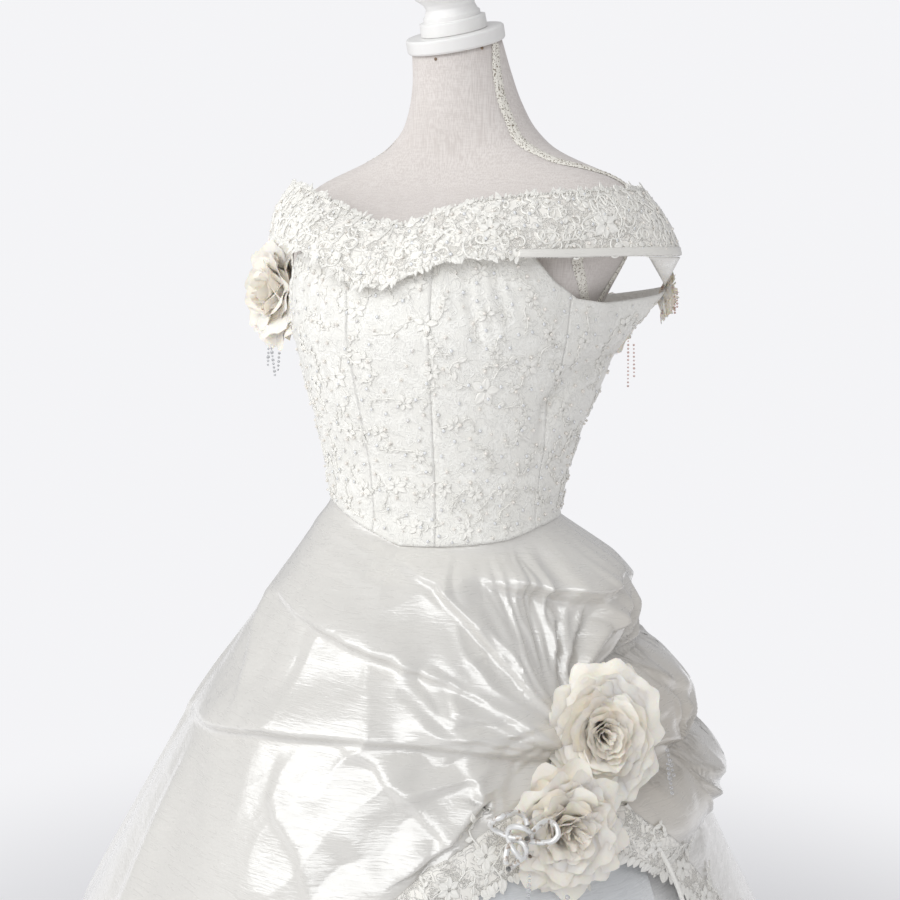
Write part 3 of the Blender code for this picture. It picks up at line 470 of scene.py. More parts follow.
COLLAR_RING_STYLE = {"tendrils": 4, "leaves": 1, "thick": 0.0009, "curl": (4.4, 6.0), "petals": (1, 2)}

# Leaves that fray the collar's edges: scallops in a whole turn, how far inside the edge they are rooted
COLLAR_SCALLOPS = 41.0
FRAY_INSIDE = 0.0022

# Lace edging along the opening: distance between its leaves and between its flowers, and how far off the
# overskirt its outer face lies
EDGING_LEAF_PITCH = 0.0062
EDGING_FLOWER_PITCH = 0.034
EDGING_LIFT = LACE + 2.0 * LAID_ON

# Pearls and sequins on the lace: how far off the cloth their middles lie, and their radii
BEAD_LIFT = 0.0014
PEARL_RADII = (0.0011, 0.0019)
SEQUIN_RADIUS = 0.0020
SEQUIN_FLATTENED = 0.75

# Strings of clear beads and of blush beads: upper end, lower end; then the fringe at the left shoulder, the
# distance between beads and their radii
CLEAR_STRINGS = (
    ((-0.2327, 0.0222, 1.200), (-0.2263, 0.0204, 1.166)),
    ((-0.2230, 0.0260, 1.200), (-0.2237, 0.0227, 1.172)),
    ((-0.2290, 0.0120, 1.205), (-0.2290, 0.0100, 1.178)),
    ((0.2656, -0.0561, 0.830), (0.2727, -0.0549, 0.806)),
    ((0.2700, -0.0700, 0.822), (0.2760, -0.0720, 0.795)),
    ((0.2385, -0.0950, 0.765), (0.2425, -0.0960, 0.735)),
    ((0.2250, -0.2200, 0.745), (0.2290, -0.2240, 0.715)),
    ((0.1950, -0.2350, 0.765), (0.1960, -0.2400, 0.735)),
)
BLUSH_STRINGS = (
    ((0.1787, 0.0581, 1.216), (0.1812, 0.0540, 1.170)),
    ((0.1830, 0.0640, 1.212), (0.1850, 0.0620, 1.180)),
)
FRINGE_STRINGS = 6
CLEAR_PITCH = 0.0038
BLUSH_PITCH = 0.0034
FRINGE_PITCH = 0.0024
CLEAR_RADII = (0.0012, 0.0024)
BLUSH_RADII = (0.0008, 0.0014)

# Silver tube loops at the hip: turn, middle, size; then their tube, how much of a ring they close, the path
# and radius of the rolled cord, and the dark pin heads
SILVER_LOOPS = (
    (0.2, (0.1790, -0.2440, 0.812), 0.017),
    (1.1, (0.1900, -0.2420, 0.798), 0.016),
    (2.0, (0.1850, -0.2460, 0.786), 0.013),
    (2.9, (0.2060, -0.2360, 0.806), 0.014),
)
LOOP_TUBE = 0.0025
LOOP_SHARE = 0.86
ROLLED_CORD = (
    (0.2440, -0.1180, 0.795), (0.2560, -0.1060, 0.773), (0.2735, -0.0990, 0.748), (0.2870, -0.0960, 0.722),
    (0.2975, -0.0940, 0.695), (0.3070, -0.0950, 0.660),
)
CORD_RADIUS = 0.0022
DARK_PINS = (
    (0.1790, -0.1400, 0.8808), (0.1950, -0.1860, 0.8450), (0.2330, -0.1700, 0.8200),
    (-0.2150, 0.0060, 1.2739),
)
PIN_RADIUS = 0.0030

# Room: its colour, how much of it lights the dress, and the lamps: name, place, size, power, colour
ROOM = (0.905, 0.905, 0.925)
SURROUND = 0.53
LAMPS = (
    ("window", (-2.1, -1.7, 1.70), (1.6, 2.2), 14.5, (1.0, 0.99, 0.96)),
    ("softbox", (-0.41, -1.93, 2.44), (4.0, 1.5), 38.0, (0.97, 0.99, 1.0)),
)
LAMPS_AIM = (0.0, 0.0, 0.95)
FLOOR_FADES = (0.8, 2.2)

# Fineness of the bodice's and the collar's grids, the small steps that find a surface's slope, how near
# points are welded, and the turn from one petal of a rose to the next
GRID_STEP = 0.0030
BODICE_TALL = 0.26
SLOPE_TURN = 0.25
SLOPE_RISE = 0.0006
WELD_WITHIN = 0.00005
PETAL_TURN = math.radians(114.0)


def smooth(start, end, value):
    """Rise from 0 at start to 1 at end with soft shoulders."""
    t = np.clip((value - start) / (end - start), 0.0, 1.0)
    return t * t * (3.0 - 2.0 * t)


def along(table, index, value):
    """A column's value at a height or angle, read off the table."""
    return np.interp(value, [row[0] for row in table], [row[index] for row in table])


def power(value, squareness):
    """Signed power that turns a circle into a squarer oval."""
    return np.sign(value) * np.abs(value) ** (2.0 / squareness)


def wrapped(angle):
    """An angle brought to between -180 and 180 degrees."""
    return (angle + 180.0) % 360.0 - 180.0


def turned(angle):
    """Sine and cosine of an angle in degrees."""
    return np.sin(np.radians(angle)), np.cos(np.radians(angle))


def outward_at(angle):
    """The level direction away from the body's axis at an angle."""
    sine, cosine = turned(angle)
    return np.stack([sine, -cosine, 0.0 * sine], -1)


def unit(vectors):
    """Vectors brought to length one."""
    return vectors / np.linalg.norm(vectors, axis=-1, keepdims=True)


def running(steps):
    """Length so far at each point of a line, from the lengths of its steps."""
    return np.concatenate([[0.0], np.cumsum(steps)])


def shares(count):
    """Shares from 0 to 1 down the rows of a grid."""
    return np.linspace(0.0, 1.0, count)[:, None]


def rows_between(top, bottom, count):
    """Rows of heights from top to bottom."""
    return top + (bottom - top) * shares(count)


def columns_between(start, end, count):
    """Angles of the columns of a grid."""
    return np.linspace(start, end, count)[None, :]


def fold_sum(table, angle, height, radius):
    """Sum of ridges along the given lines; where a row names a sharpness, its lower side is steeper."""
    total = np.zeros(np.broadcast(angle, height).shape)
    for row in table:
        reach, half_width, line = row[0], row[1], row[-1]
        tuck = len(row) == 4
        sharpness = row[2] if tuck else 1.0
        nearest = np.full(total.shape, 1e9)
        share = np.zeros(total.shape)
        above = np.zeros(total.shape, bool)
        for number, ((a0, z0), (a1, z1)) in enumerate(zip(line, line[1:])):
            across = np.radians(wrapped(angle - a0)) * radius
            run = np.radians(wrapped(a1 - a0)) * radius
            rise = height - z0
            climb = z1 - z0
            t = np.clip((across * run + rise * climb) / (run * run + climb * climb), 0.0, 1.0)
            gap = np.hypot(across - t * run, rise - t * climb)
            closer = gap < nearest
            nearest = np.where(closer, gap, nearest)
            share = np.where(closer, (number + t) / (len(line) - 1), share)
            above = np.where(closer, (run * rise - climb * across) * np.sign(run) > 0.0, above)
        taper = smooth(-0.25, 0.25, share) * smooth(1.20, 0.80, share)
        if tuck:
            taper = smooth(-0.02, 0.40, share) * smooth(1.25, 0.85, share)
        width = np.where(above, half_width, half_width * sharpness)
        total = total + reach * taper * np.exp(-((nearest / width) ** 2))
    return total


def bodice_point(angle, height):
    """A point on the outer face of the bodice."""
    angle = wrapped(np.asarray(angle, float))
    back_share = smooth(BACK_STARTS, BACK_FULL, np.abs(angle))
    side = along(BODICE_SECTIONS, 1, height)
    side = side + (along(BODICE_SECTIONS, 4, height) - side) * back_share
    square = FRONT_SQUARENESS + (along(BODICE_SECTIONS, 5, height) - FRONT_SQUARENESS) * back_share
    sine, cosine = turned(angle)
    depth = np.where(cosine > 0.0, along(BODICE_SECTIONS, 2, height), along(BODICE_SECTIONS, 3, height))
    wing = np.exp(-(((np.abs(angle) - WING_ANGLE) / WING_SPREAD) ** 2))
    wing = wing * smooth(WING_LOW, WING_HIGH, height) * smooth(WING_STARTS, WING_FULL, np.abs(angle))
    creases = fold_sum(BODICE_CREASES + BODICE_WRINKLES, angle, height, BODICE_RADIUS)
    out = WING_REACH * wing - creases
    x = side * power(sine, square) + out * sine
    y = -depth * power(cosine, square) - out * cosine
    return np.stack([x, y, height + 0.0 * x], -1)


def collar_point(angle, height):
    """A point on the collar at an angle and a height between its edges."""
    top = along(COLLAR_EDGES, 1, angle)
    low = along(COLLAR_EDGES, 2, angle)
    down = (top - height) / (top - low)
    sine, cosine = turned(angle)
    swell = COLLAR_SWELL * np.sin(math.pi * np.clip(down, 0.0, 1.0))
    flare = COLLAR_FLARE_LEFT * smooth(FLARE_STARTS, FLARE_FULL, angle)
    flare = flare + COLLAR_FLARE_RIGHT * smooth(-FLARE_STARTS, -FLARE_FULL, angle)
    wide = COLLAR_TOP[0] + (COLLAR_LOW[0] + flare - COLLAR_TOP[0]) * down + swell
    deep = COLLAR_TOP[1] + (COLLAR_LOW[1] - COLLAR_TOP[1]) * down + swell
    return np.stack([wide * sine, COLLAR_MIDDLE_Y - deep * cosine, height + 0.0 * wide], -1)


def hem_wave(angle, height):
    """How far the skirt's flutes stand out near the floor."""
    growth = np.clip(1.0 - height / WAVES_START, 0.0, 1.0) ** WAVES_GROW
    total = 0.0
    for reach, count, shift in HEM_WAVES:
        total = total + reach * np.cos(np.radians(count * angle + shift))
    return growth * total


def crumple(angle, height, points, strength):
    """Crisp creases in thin stiff cloth, most of them drawn out towards the nearest gather."""
    flat = points.reshape(-1, 3)
    amount = np.broadcast_to(strength, points.shape[:-1]).reshape(-1)
    angle = np.broadcast_to(wrapped(angle), points.shape[:-1]).reshape(-1)
    height = np.broadcast_to(height, points.shape[:-1]).reshape(-1)
    front = (angle > CRUMPLE_TURNS[0]) & (angle < CRUMPLE_TURNS[1])
    middle = np.where(front, GATHERED_AT[0][0], GATHERED_AT[1][0])
    level = np.where(front, GATHERED_AT[0][1], GATHERED_AT[1][1])
    across = np.radians(wrapped(angle - middle)) * SKIRT_RADIUS
    reach = np.hypot(across, height - level)
    heading = np.arctan2(height - level, across)
    edge = np.minimum(np.abs(wrapped(angle - CRUMPLE_TURNS[0])), np.abs(wrapped(angle - CRUMPLE_TURNS[1])))
    drawn = smooth(2.0, 14.0, edge) * smooth(0.02, 0.07, reach)
    place = np.stack([np.cos(heading) * CRUMPLE_FAN, np.sin(heading) * CRUMPLE_FAN, reach / CRUMPLE_LONG], -1)
    made = np.zeros(len(flat))
    for index in np.nonzero(amount > CRUMPLE_LEAST)[0]:
        spot = Vector(place[index])
        wander = noise.noise(spot) + 0.35 * noise.noise(spot * 2.3)
        zigzag = abs((wander * CRUMPLE_FOLDS) % 2.0 - 1.0) - 0.5
        loose = noise.noise(Vector(flat[index]) / CRUMPLE_SIZE)
        loose = abs((loose * 2.2) % 2.0 - 1.0) - 0.5
        made[index] = amount[index] * (drawn[index] * zigzag + (0.25 + 0.4 * (1.0 - drawn[index])) * loose)
    return made.reshape(points.shape[:-1])


def radiating(angle, height):
    """Pleats that fan out from the points where the overskirt is caught up."""
    total = np.zeros(np.broadcast(angle, height).shape)
    for middle, level, pleats, deep, near, far, low, high in FANS:
        across = np.radians(wrapped(angle - middle)) * SKIRT_RADIUS
        rise = height - level
        reach = np.hypot(across, rise)
        heading = np.degrees(np.arctan2(rise, across))
        wave = np.sin(np.radians(heading * pleats + 50.0 * np.sin(np.radians(heading * 2.0))))
        span = smooth(low - 14.0, low + 10.0, heading) * smooth(high + 14.0, high - 10.0, heading)
        total = total + deep * wave * span * smooth(0.0, near, reach) * smooth(far * 1.5, far * 0.6, reach)
    return total


def skirt_point(angle, height, inside=0.0, dressed=True):
    """A point on the skirt: its ground form, moved in by a layer, or dressed with folds and puffs."""
    angle = wrapped(np.asarray(angle, float))
    sine, cosine = turned(angle)
    side = np.where(sine < 0.0, along(SKIRT_SECTIONS, 1, height), along(SKIRT_SECTIONS, 2, height))
    depth = np.where(cosine > 0.0, along(SKIRT_SECTIONS, 3, height), along(SKIRT_SECTIONS, 4, height))
    out = hem_wave(angle, height) - inside
    z = height + np.zeros(np.broadcast(angle, height).shape)
    if dressed:
        seam = along(BODICE_EDGES, 1, angle)
        settled = smooth(0.0, FOLDS_SETTLE, seam - height)
        out = out + fold_sum(SKIRT_TUCKS, angle, height, SKIRT_RADIUS) * settled
        share = smooth(PUFF_FROM, PUFF_FULL, angle) * smooth(PUFF_ENDS, PUFF_FADES, angle)
        for top, bottom, reach in HIP_PUFFS:
            down = np.clip((top - height) / (top - bottom), 0.0, 1.0)
            roll = np.sin(math.pi * down ** PUFF_HIGH) ** PUFF_FAT
            uneven = 1.0 + PUFF_UNEVEN * np.sin(np.radians(angle * 7.0 + top * 900.0))
            out = out + share * reach * roll * uneven
            z = z - share * PUFF_DROOP * roll * roll
        strength = CRUMPLE_CALM
        for middle, level, wide, tall, full in CRUMPLED:
            near = (wrapped(angle - middle) / wide) ** 2 + ((height - level) / tall) ** 2
            strength = strength + full * np.exp(-near)
        place = np.stack([side * sine, -depth * cosine, z], -1)
        out = out + CRUMPLE_DEEP * crumple(angle, height, place, strength * settled)
        fade = np.exp(-np.clip(seam - height, 0.0, 1.0) / GATHER_RUN)
        fade = fade * smooth(0.0, GATHER_STARTS, seam - height)
        fade = fade * smooth(GATHER_FROM, GATHER_FULL, np.abs(angle))
        wave = np.sin(np.radians(GATHERS * angle + 80.0 * np.sin(np.radians(5.0 * angle))))
        out = out + GATHER_DEEP * wave * fade
        out = out + radiating(angle, height)
    return np.stack([(side + out) * sine, -(depth + out) * cosine, z], -1)


def quads(rows, columns, start=0):
    """Four-cornered faces of a grid whose points are numbered from start."""
    index = start + np.arange(rows * columns).reshape(rows, columns)
    return np.stack([index[:-1, :-1], index[1:, :-1], index[1:, 1:], index[:-1, 1:]], -1).reshape(-1, 4)


def mesh_of(name, points, faces):
    """A mesh of points and faces."""
    mesh = bpy.data.meshes.new(name)
    mesh.from_pydata(points.reshape(-1, 3).tolist(), [], faces.tolist())
    return mesh


def grid_mesh(name, points):
    """A mesh through rows of points, with a map of its lengths in metres called cloth."""
    mesh = mesh_of(name, points, quads(*points.shape[:2]))
    across = running(np.linalg.norm(np.diff(points, axis=1), axis=-1).mean(axis=0))
    down = -running(np.linalg.norm(np.diff(points, axis=0), axis=-1).mean(axis=1))
    flat = np.stack(np.broadcast_arrays(across[None, :], down[:, None]), -1).reshape(-1, 2)
    layer = mesh.uv_layers.new(name="cloth")
    corner = np.zeros(len(mesh.loops), int)
    mesh.loops.foreach_get("vertex_index", corner)
    layer.data.foreach_set("uv", flat[corner].ravel())
    return mesh


def grid_normals(points):
    """Outward directions at each point of a grid."""
    return unit(np.cross(np.gradient(points, axis=0), np.gradient(points, axis=1)))


def raised(points, lift):
    """A grid moved outwards by a lift, which may change along its rows or columns."""
    return points + grid_normals(points) * np.broadcast_to(lift, points.shape[:2])[..., None]


def lay(surface, patches):
    """Patches of angle, height and lift laid on a surface, as grids of points."""
    angle, height, lift = np.vstack([patch.reshape(-1, 3) for patch in patches]).T
    here = surface(angle, height)
    aside = surface(angle + SLOPE_TURN, height) - here
    above = surface(angle, height + SLOPE_RISE) - here
    points = here + unit(np.cross(aside, above)) * lift[:, None]
    grids = []
    start = 0
    for patch in patches:
        size = patch.shape[0] * patch.shape[1]
        grids.append(points[start:start + size].reshape(*patch.shape[:2], 3))
        start += size
    return grids


def petal_patch(spot, radius, start, heading, length, half, relief, rows=6):
    """A corded petal or leaf, drawn in metres round a spot of angle and height."""
    forward = shares(rows)
    side, cord = (np.array(column)[None, :] for column in zip(*PETAL_RELIEF))
    swell = np.sin(math.pi * np.clip(forward, 0.03, 0.97) ** 0.8) ** 0.75
    ahead = length * forward + 0.0 * side
    aside = half * side * swell
    across = start[0] + ahead * math.cos(heading) - aside * math.sin(heading)
    up = start[1] + ahead * math.sin(heading) + aside * math.cos(heading)
    lift = LAID_ON + relief * cord * np.sqrt(swell)
    return np.stack([spot[0] + np.degrees(across / radius), spot[1] + up, lift], -1)


def cord_patch(spot, radius, start, heading, length, bend, half, relief, chance):
    """A curling cord, and the places and headings along it where leaves grow."""
    share = np.linspace(0.0, 1.0, 20)
    turn = heading + bend * share + chance.uniform(0.3, 0.9) * np.sin(share * chance.uniform(4.0, 8.0))
    step = length / (len(share) - 1.0)
    x = start[0] + np.cumsum(np.cos(turn)) * step
    y = start[1] + np.cumsum(np.sin(turn)) * step
    side, cord = (np.array(column)[None, :] for column in zip(*CORD_RELIEF))
    across = x[:, None] - half * side * np.sin(turn)[:, None]
    up = y[:, None] + half * side * np.cos(turn)[:, None]
    lift = LAID_ON + relief * cord + 0.0 * up
    patch = np.stack([spot[0] + np.degrees(across / radius), spot[1] + up, lift], -1)
    return patch, list(zip(x, y, turn))


def motif_patches(spot, radius, size, relief, chance, tendrils=2, leaves=5, thick=0.0007, curl=(1.0, 2.6),
                  petals=(5, 7)):
    """One flower with its tendrils, which curl by the given range of radians, and the leaves on each."""
    patches = []
    count = chance.randint(*petals)
    begin = chance.uniform(0.0, 2.0 * math.pi)
    for number in range(count):
        heading = begin + 2.0 * math.pi * number / count + chance.uniform(-0.15, 0.15)
        hub = (MOTIF_HUB * math.cos(heading), MOTIF_HUB * math.sin(heading))
        length = size * chance.uniform(0.8, 1.1)
        patches.append(petal_patch(spot, radius, hub, heading, length, length * 0.36, relief))
    for number in range(tendrils):
        heading = begin + math.pi * 2.0 * (number + 0.35) / tendrils + chance.uniform(-0.5, 0.5)
        hub = (size * 0.9 * math.cos(heading), size * 0.9 * math.sin(heading))
        reach = size * chance.uniform(2.4, 3.6)
        bend = chance.choice((-1.0, 1.0)) * chance.uniform(*curl)
        cord, stops = cord_patch(spot, radius, hub, heading, reach, bend, thick, relief * 0.9, chance)
        patches.append(cord)
        for share, lean in ((0.99, 0.0), (0.45, -0.9), (0.65, 0.8), (0.25, 0.9), (0.84, -0.8))[:leaves]:
            x, y, turn = stops[int(share * (len(stops) - 1))]
            long = size * chance.uniform(0.45, 0.75)
            patches.append(petal_patch(spot, radius, (x, y), turn + lean, long, long * 0.30, relief * 0.8))
    return patches


def within(patches, table, margin):
    """The patches that stay between the edges given by a table of angle, height, height."""
    kept = []
    for patch in patches:
        angle = wrapped(patch[..., 0])
        edges = np.sort([along(table, 1, angle), along(table, 2, angle)], axis=0)
        if np.all(patch[..., 1] > edges[0] + margin) and np.all(patch[..., 1] < edges[1] - margin):
            kept.append(patch)
    return kept


def scatter(chance, low, high, radius, table, tries, spacing, margin, taken=()):
    """Spots of angle and height at least a spacing apart, between two angles and the edges of a table."""
    spots = [tuple(spot[:2]) for spot in taken]
    given = len(spots)
    for _ in range(tries):
        angle = chance.uniform(low, high)
        edges = sorted((float(along(table, 1, angle)), float(along(table, 2, angle))))
        height = chance.uniform(edges[0] + margin, edges[1] - margin)
        if spots:
            known = np.array(spots)
            gap = np.hypot(np.radians(wrapped(known[:, 0] - angle)) * radius, known[:, 1] - height)
            if gap.min() < spacing:
                continue
        spots.append((angle, height))
    return spots[given:]


def beads(name, points, sizes, finish, coarse=False, flat=None):
    """Beads of the given radii at the points, as one mesh: round, or flattened along the given directions."""
    shape = bmesh.new()
    bmesh.ops.create_icosphere(shape, subdivisions=1 if coarse else 2, radius=1.0)
    ball = np.array([vertex.co[:] for vertex in shape.verts])
    faces = np.array([[vertex.index for vertex in face.verts] for face in shape.faces])
    shape.free()
    points = np.asarray(points, float).reshape(-1, 3)
    sizes = np.broadcast_to(np.asarray(sizes, float), (len(points),))
    places = points[:, None, :] + ball[None, :, :] * sizes[:, None, None]
    if flat is not None:
        inward = np.sum(ball[None] * flat[:, None, :], axis=-1, keepdims=True) * flat[:, None, :]
        places = points[:, None, :] + (ball[None] - SEQUIN_FLATTENED * inward) * sizes[:, None, None]
    index = faces[None] + len(ball) * np.arange(len(points))[:, None, None]
    return add(name, mesh_of(name, places, index.reshape(-1, 3)), finish)


def strand(start, end, pitch):
    """Places of the beads on a thread that hangs between two points."""
    start = np.array(start)
    end = np.array(end)
    return start + (end - start) * shares(max(3, int(np.linalg.norm(end - start) / pitch)))


def tube(path, radius, sides=8):
    """A round tube along a path, as a grid of points."""
    path = np.asarray(path, float)
    ahead = unit(np.gradient(path, axis=0))
    first = unit(np.cross(ahead, np.array((0.31, 0.22, 0.92))))
    second = np.cross(ahead, first)
    turn = np.linspace(0.0, -2.0 * math.pi, sides + 1)
    radius = np.broadcast_to(np.asarray(radius, float), (len(path),))[:, None, None]
    ring = first[:, None, :] * np.cos(turn)[None, :, None] + second[:, None, :] * np.sin(turn)[None, :, None]
    return path[:, None, :] + ring * radius


def spline(points, steps=10):
    """A smooth path through the given points."""
    points = np.asarray(points, float)
    padded = np.vstack([2.0 * points[0] - points[1], points, 2.0 * points[-1] - points[-2]])
    path = []
    for a, b, c, d in zip(padded, padded[1:], padded[2:], padded[3:]):
        for t in np.linspace(0.0, 1.0, steps, endpoint=False):
            path.append(0.5 * (2.0 * b + (c - a) * t + (2.0 * a - 5.0 * b + 4.0 * c - d) * t * t
                               + (3.0 * b - a - 3.0 * c + d) * t ** 3))
    path.append(points[-1])
    return np.array(path)


def add(name, mesh, finish, nodes=()):
    """A finished piece on the one body, which stands for the given CAD nodes."""
    piece = bpy.data.objects.new(name, mesh)
    dress.objects.link(piece)
    if not mesh.materials:
        mesh.materials.append(finish)
    mesh.shade_smooth()
    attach(piece, "root")
    if nodes:
        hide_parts(*nodes)
    return piece


def close(piece):
    """Joins the points that meet at a turned piece's seam and ends."""
    weld = piece.modifiers.new("Close", "WELD")
    weld.merge_threshold = WELD_WITHIN
    return piece


def panel(name, points, thickness, finish, nodes=()):
    """A panel of cloth through a grid of points on its outer face, thickened inwards unless it is thin."""
    piece = add(name, grid_mesh(name, points), finish, nodes)
    if thickness:
        solid = piece.modifiers.new("Wall", "SOLIDIFY")
        solid.thickness = thickness
        solid.offset = -1.0
    return piece


class Finish:
    """A procedural material under construction."""

    def __init__(self, name, colour, roughness, **constants):
        self.material = bpy.data.materials.new(name)
        self.material.use_nodes = True
        self.tree = self.material.node_tree
        self.shader = self.tree.nodes["Principled BSDF"]
        self.shader.inputs["Base Color"].default_value = (*colour, 1.0)
        self.shader.inputs["Roughness"].default_value = roughness
        for socket, value in constants.items():
            self.shader.inputs[socket.replace("_", " ")].default_value = value

    def node(self, kind, inputs=None, **settings):
        """A node with its settings, whose inputs are values or the outputs of other nodes."""
        made = self.tree.nodes.new("ShaderNode" + kind)
        for key, value in settings.items():
            setattr(made, key, value)
        for key, value in (inputs or {}).items():
            if isinstance(value, bpy.types.NodeSocket):
                self.tree.links.new(value, made.inputs[key])
            else:
                made.inputs[key].default_value = value
        return made

    def place(self, stretch=(1.0, 1.0, 1.0), cloth=False):
        """Coordinates in metres, of the piece or of its cloth laid flat, stretched along each axis."""
        if cloth:
            source = self.node("UVMap", uv_map="cloth").outputs[0]
        else:
            source = self.node("TexCoord").outputs["Object"]
        return self.node("Mapping", {"Vector": source, "Scale": stretch}).outputs[0]

    def noise(self, size, detail=3.0, stretch=(1.0, 1.0, 1.0), cloth=False, kind="FBM", warp=0.0, rough=0.5):
        """Noise whose features are about the given size in metres."""
        values = {"Vector": self.place(stretch, cloth), "Scale": 1.0 / size, "Detail": detail}
        values.update({"Distortion": warp, "Roughness": rough})
        return self.node("TexNoise", values, noise_type=kind, normalize=True).outputs[0]

    def cells(self, size, feature="F1", stretch=(1.0, 1.0, 1.0), cloth=False, output="Distance", where=None):
        """Cells about the given size in metres."""
        where = where or self.place(stretch, cloth)
        values = {"Vector": where, "Scale": 1.0 / size}
        return self.node("TexVoronoi", values, feature=feature).outputs[output]

    def step(self, value, low, high, start=0.0, end=1.0):
        """A smooth step of a value from start at low to end at high."""
        values = {"Value": value, "From Min": low, "From Max": high, "To Min": start, "To Max": end}
        return self.node("MapRange", values, interpolation_type="SMOOTHSTEP").outputs[0]

    def math(self, operation, a, b):
        """One operation on two values."""
        return self.node("Math", {0: a, 1: b}, operation=operation).outputs[0]

    def blend(self, factor, a, b):
        """A colour between a and b; either may be a colour or a socket."""
        mix = self.node("Mix", {"Factor": factor}, data_type="RGBA")
        for index, colour in ((6, a), (7, b)):
            if isinstance(colour, bpy.types.NodeSocket):
                self.tree.links.new(colour, mix.inputs[index])
            else:
                mix.inputs[index].default_value = (*colour, 1.0)
        return mix.outputs[2]

    def join(self, value, socket):
        """Feeds a value to one of the shader's inputs."""
        self.tree.links.new(value, self.shader.inputs[socket])

    def bump(self, height, distance, strength=1.0, before=None, socket="Normal"):
        """Relief of the given depth in metres, on top of an earlier one."""
        values = {"Height": height, "Distance": distance, "Strength": strength}
        if before:
            values["Normal"] = before
        made = self.node("Bump", values).outputs[0]
        if socket:
            self.join(made, socket)
        return made


def make_linen():
    """Natural linen: uneven threads both ways, slubs and faint stains."""
    finish = Finish("Natural linen", (0.71, 0.66, 0.63), 0.92, Sheen_Weight=0.15)
    up = finish.noise(0.0011, 2.0, (1.0, 1.0, 0.05))
    level = finish.noise(0.0011, 2.0, (0.10, 0.10, 1.0))
    weave = finish.math("ADD", finish.math("MULTIPLY", up, 1.35), finish.math("MULTIPLY", level, 0.65))
    slub = finish.noise(0.012, 3.0, (1.0, 1.0, 0.25))
    cloudy = finish.noise(0.09, 3.0)
    threads = finish.blend(finish.step(weave, 0.75, 1.25), (0.65, 0.60, 0.57), (0.765, 0.72, 0.69))
    slubs = finish.blend(finish.step(slub, 0.58, 0.78, 0.0, 0.5), threads, (0.80, 0.76, 0.73))
    shaded = finish.blend(finish.step(cloudy, 0.35, 0.75, 0.0, 0.20), slubs, (0.65, 0.60, 0.57))
    finish.join(shaded, "Base Color")
    finish.bump(weave, 0.00025, 0.4)
    return finish.material


def make_satin_lace():
    """Ivory satin under a corded floral lace with a fine net."""
    finish = Finish("Ivory satin under lace", (0.82, 0.80, 0.74), 0.42, Sheen_Weight=0.12, Coat_Weight=0.10,
                    Coat_Roughness=0.30)
    vine = finish.math("ABSOLUTE", finish.math("SUBTRACT", finish.noise(0.013, 1.0, warp=1.2), 0.5), 0.0)
    cord = finish.step(vine, 0.010, 0.036, 1.0, 0.0)
    scales = finish.step(finish.cells(0.0050, "DISTANCE_TO_EDGE"), 0.05, 0.20, 1.0, 0.0)
    patch = finish.step(finish.noise(0.018, 1.0), 0.47, 0.53)
    scaled = finish.math("MULTIPLY", patch, finish.math("MULTIPLY", scales, 0.7))
    filled = finish.math("MAXIMUM", cord, scaled)
    net = finish.step(finish.cells(0.0018, "DISTANCE_TO_EDGE"), 0.04, 0.16, 1.0, 0.0)
    relief = finish.math("MAXIMUM", filled, finish.math("MULTIPLY", net, 0.3))
    satin = finish.blend(finish.noise(0.06, 2.0), (0.88, 0.865, 0.815), (0.92, 0.905, 0.86))
    corded = finish.blend(finish.step(relief, 0.1, 0.9, 0.0, 0.8), satin, (0.93, 0.92, 0.88))
    finish.join(corded, "Base Color")
    finish.join(finish.step(relief, 0.1, 0.8, 0.32, 0.70), "Roughness")
    finish.bump(relief, 0.0006, 0.8)
    return finish.material


def make_cord():
    """Matt ivory cord and stitching of the lace's flowers."""
    finish = Finish("Ivory lace cord", (0.80, 0.78, 0.73), 0.66, Sheen_Weight=0.25)
    ply = finish.noise(0.0009, 1.0)
    finish.join(finish.blend(ply, (0.93, 0.91, 0.855), (0.98, 0.965, 0.92)), "Base Color")
    finish.bump(ply, 0.0003, 0.6)
    return finish.material


def make_lace():
    """Ivory corded lace whose net lets some of what lies behind show."""
    finish = Finish("Ivory corded lace", (0.82, 0.80, 0.745), 0.78, Sheen_Weight=0.2)
    vine = finish.math("ABSOLUTE", finish.math("SUBTRACT", finish.noise(0.011, 1.0, warp=1.6), 0.5), 0.0)
    cord = finish.step(vine, 0.016, 0.048, 1.0, 0.0)
    filled = finish.step(finish.noise(0.013, 1.0, warp=0.8), 0.47, 0.51)
    net = finish.step(finish.cells(0.0012, "DISTANCE_TO_EDGE"), 0.04, 0.14, 1.0, 0.0)
    dense = finish.math("MAXIMUM", finish.math("MAXIMUM", cord, finish.math("MULTIPLY", filled, 0.85)),
                       finish.math("MULTIPLY", net, 0.5))
    finish.join(finish.blend(cord, (0.92, 0.895, 0.84), (0.97, 0.95, 0.90)), "Base Color")
    finish.join(finish.step(dense, 0.05, 0.60, 0.40, 1.0), "Alpha")
    finish.bump(cord, 0.0010, 0.9)
    return finish.material


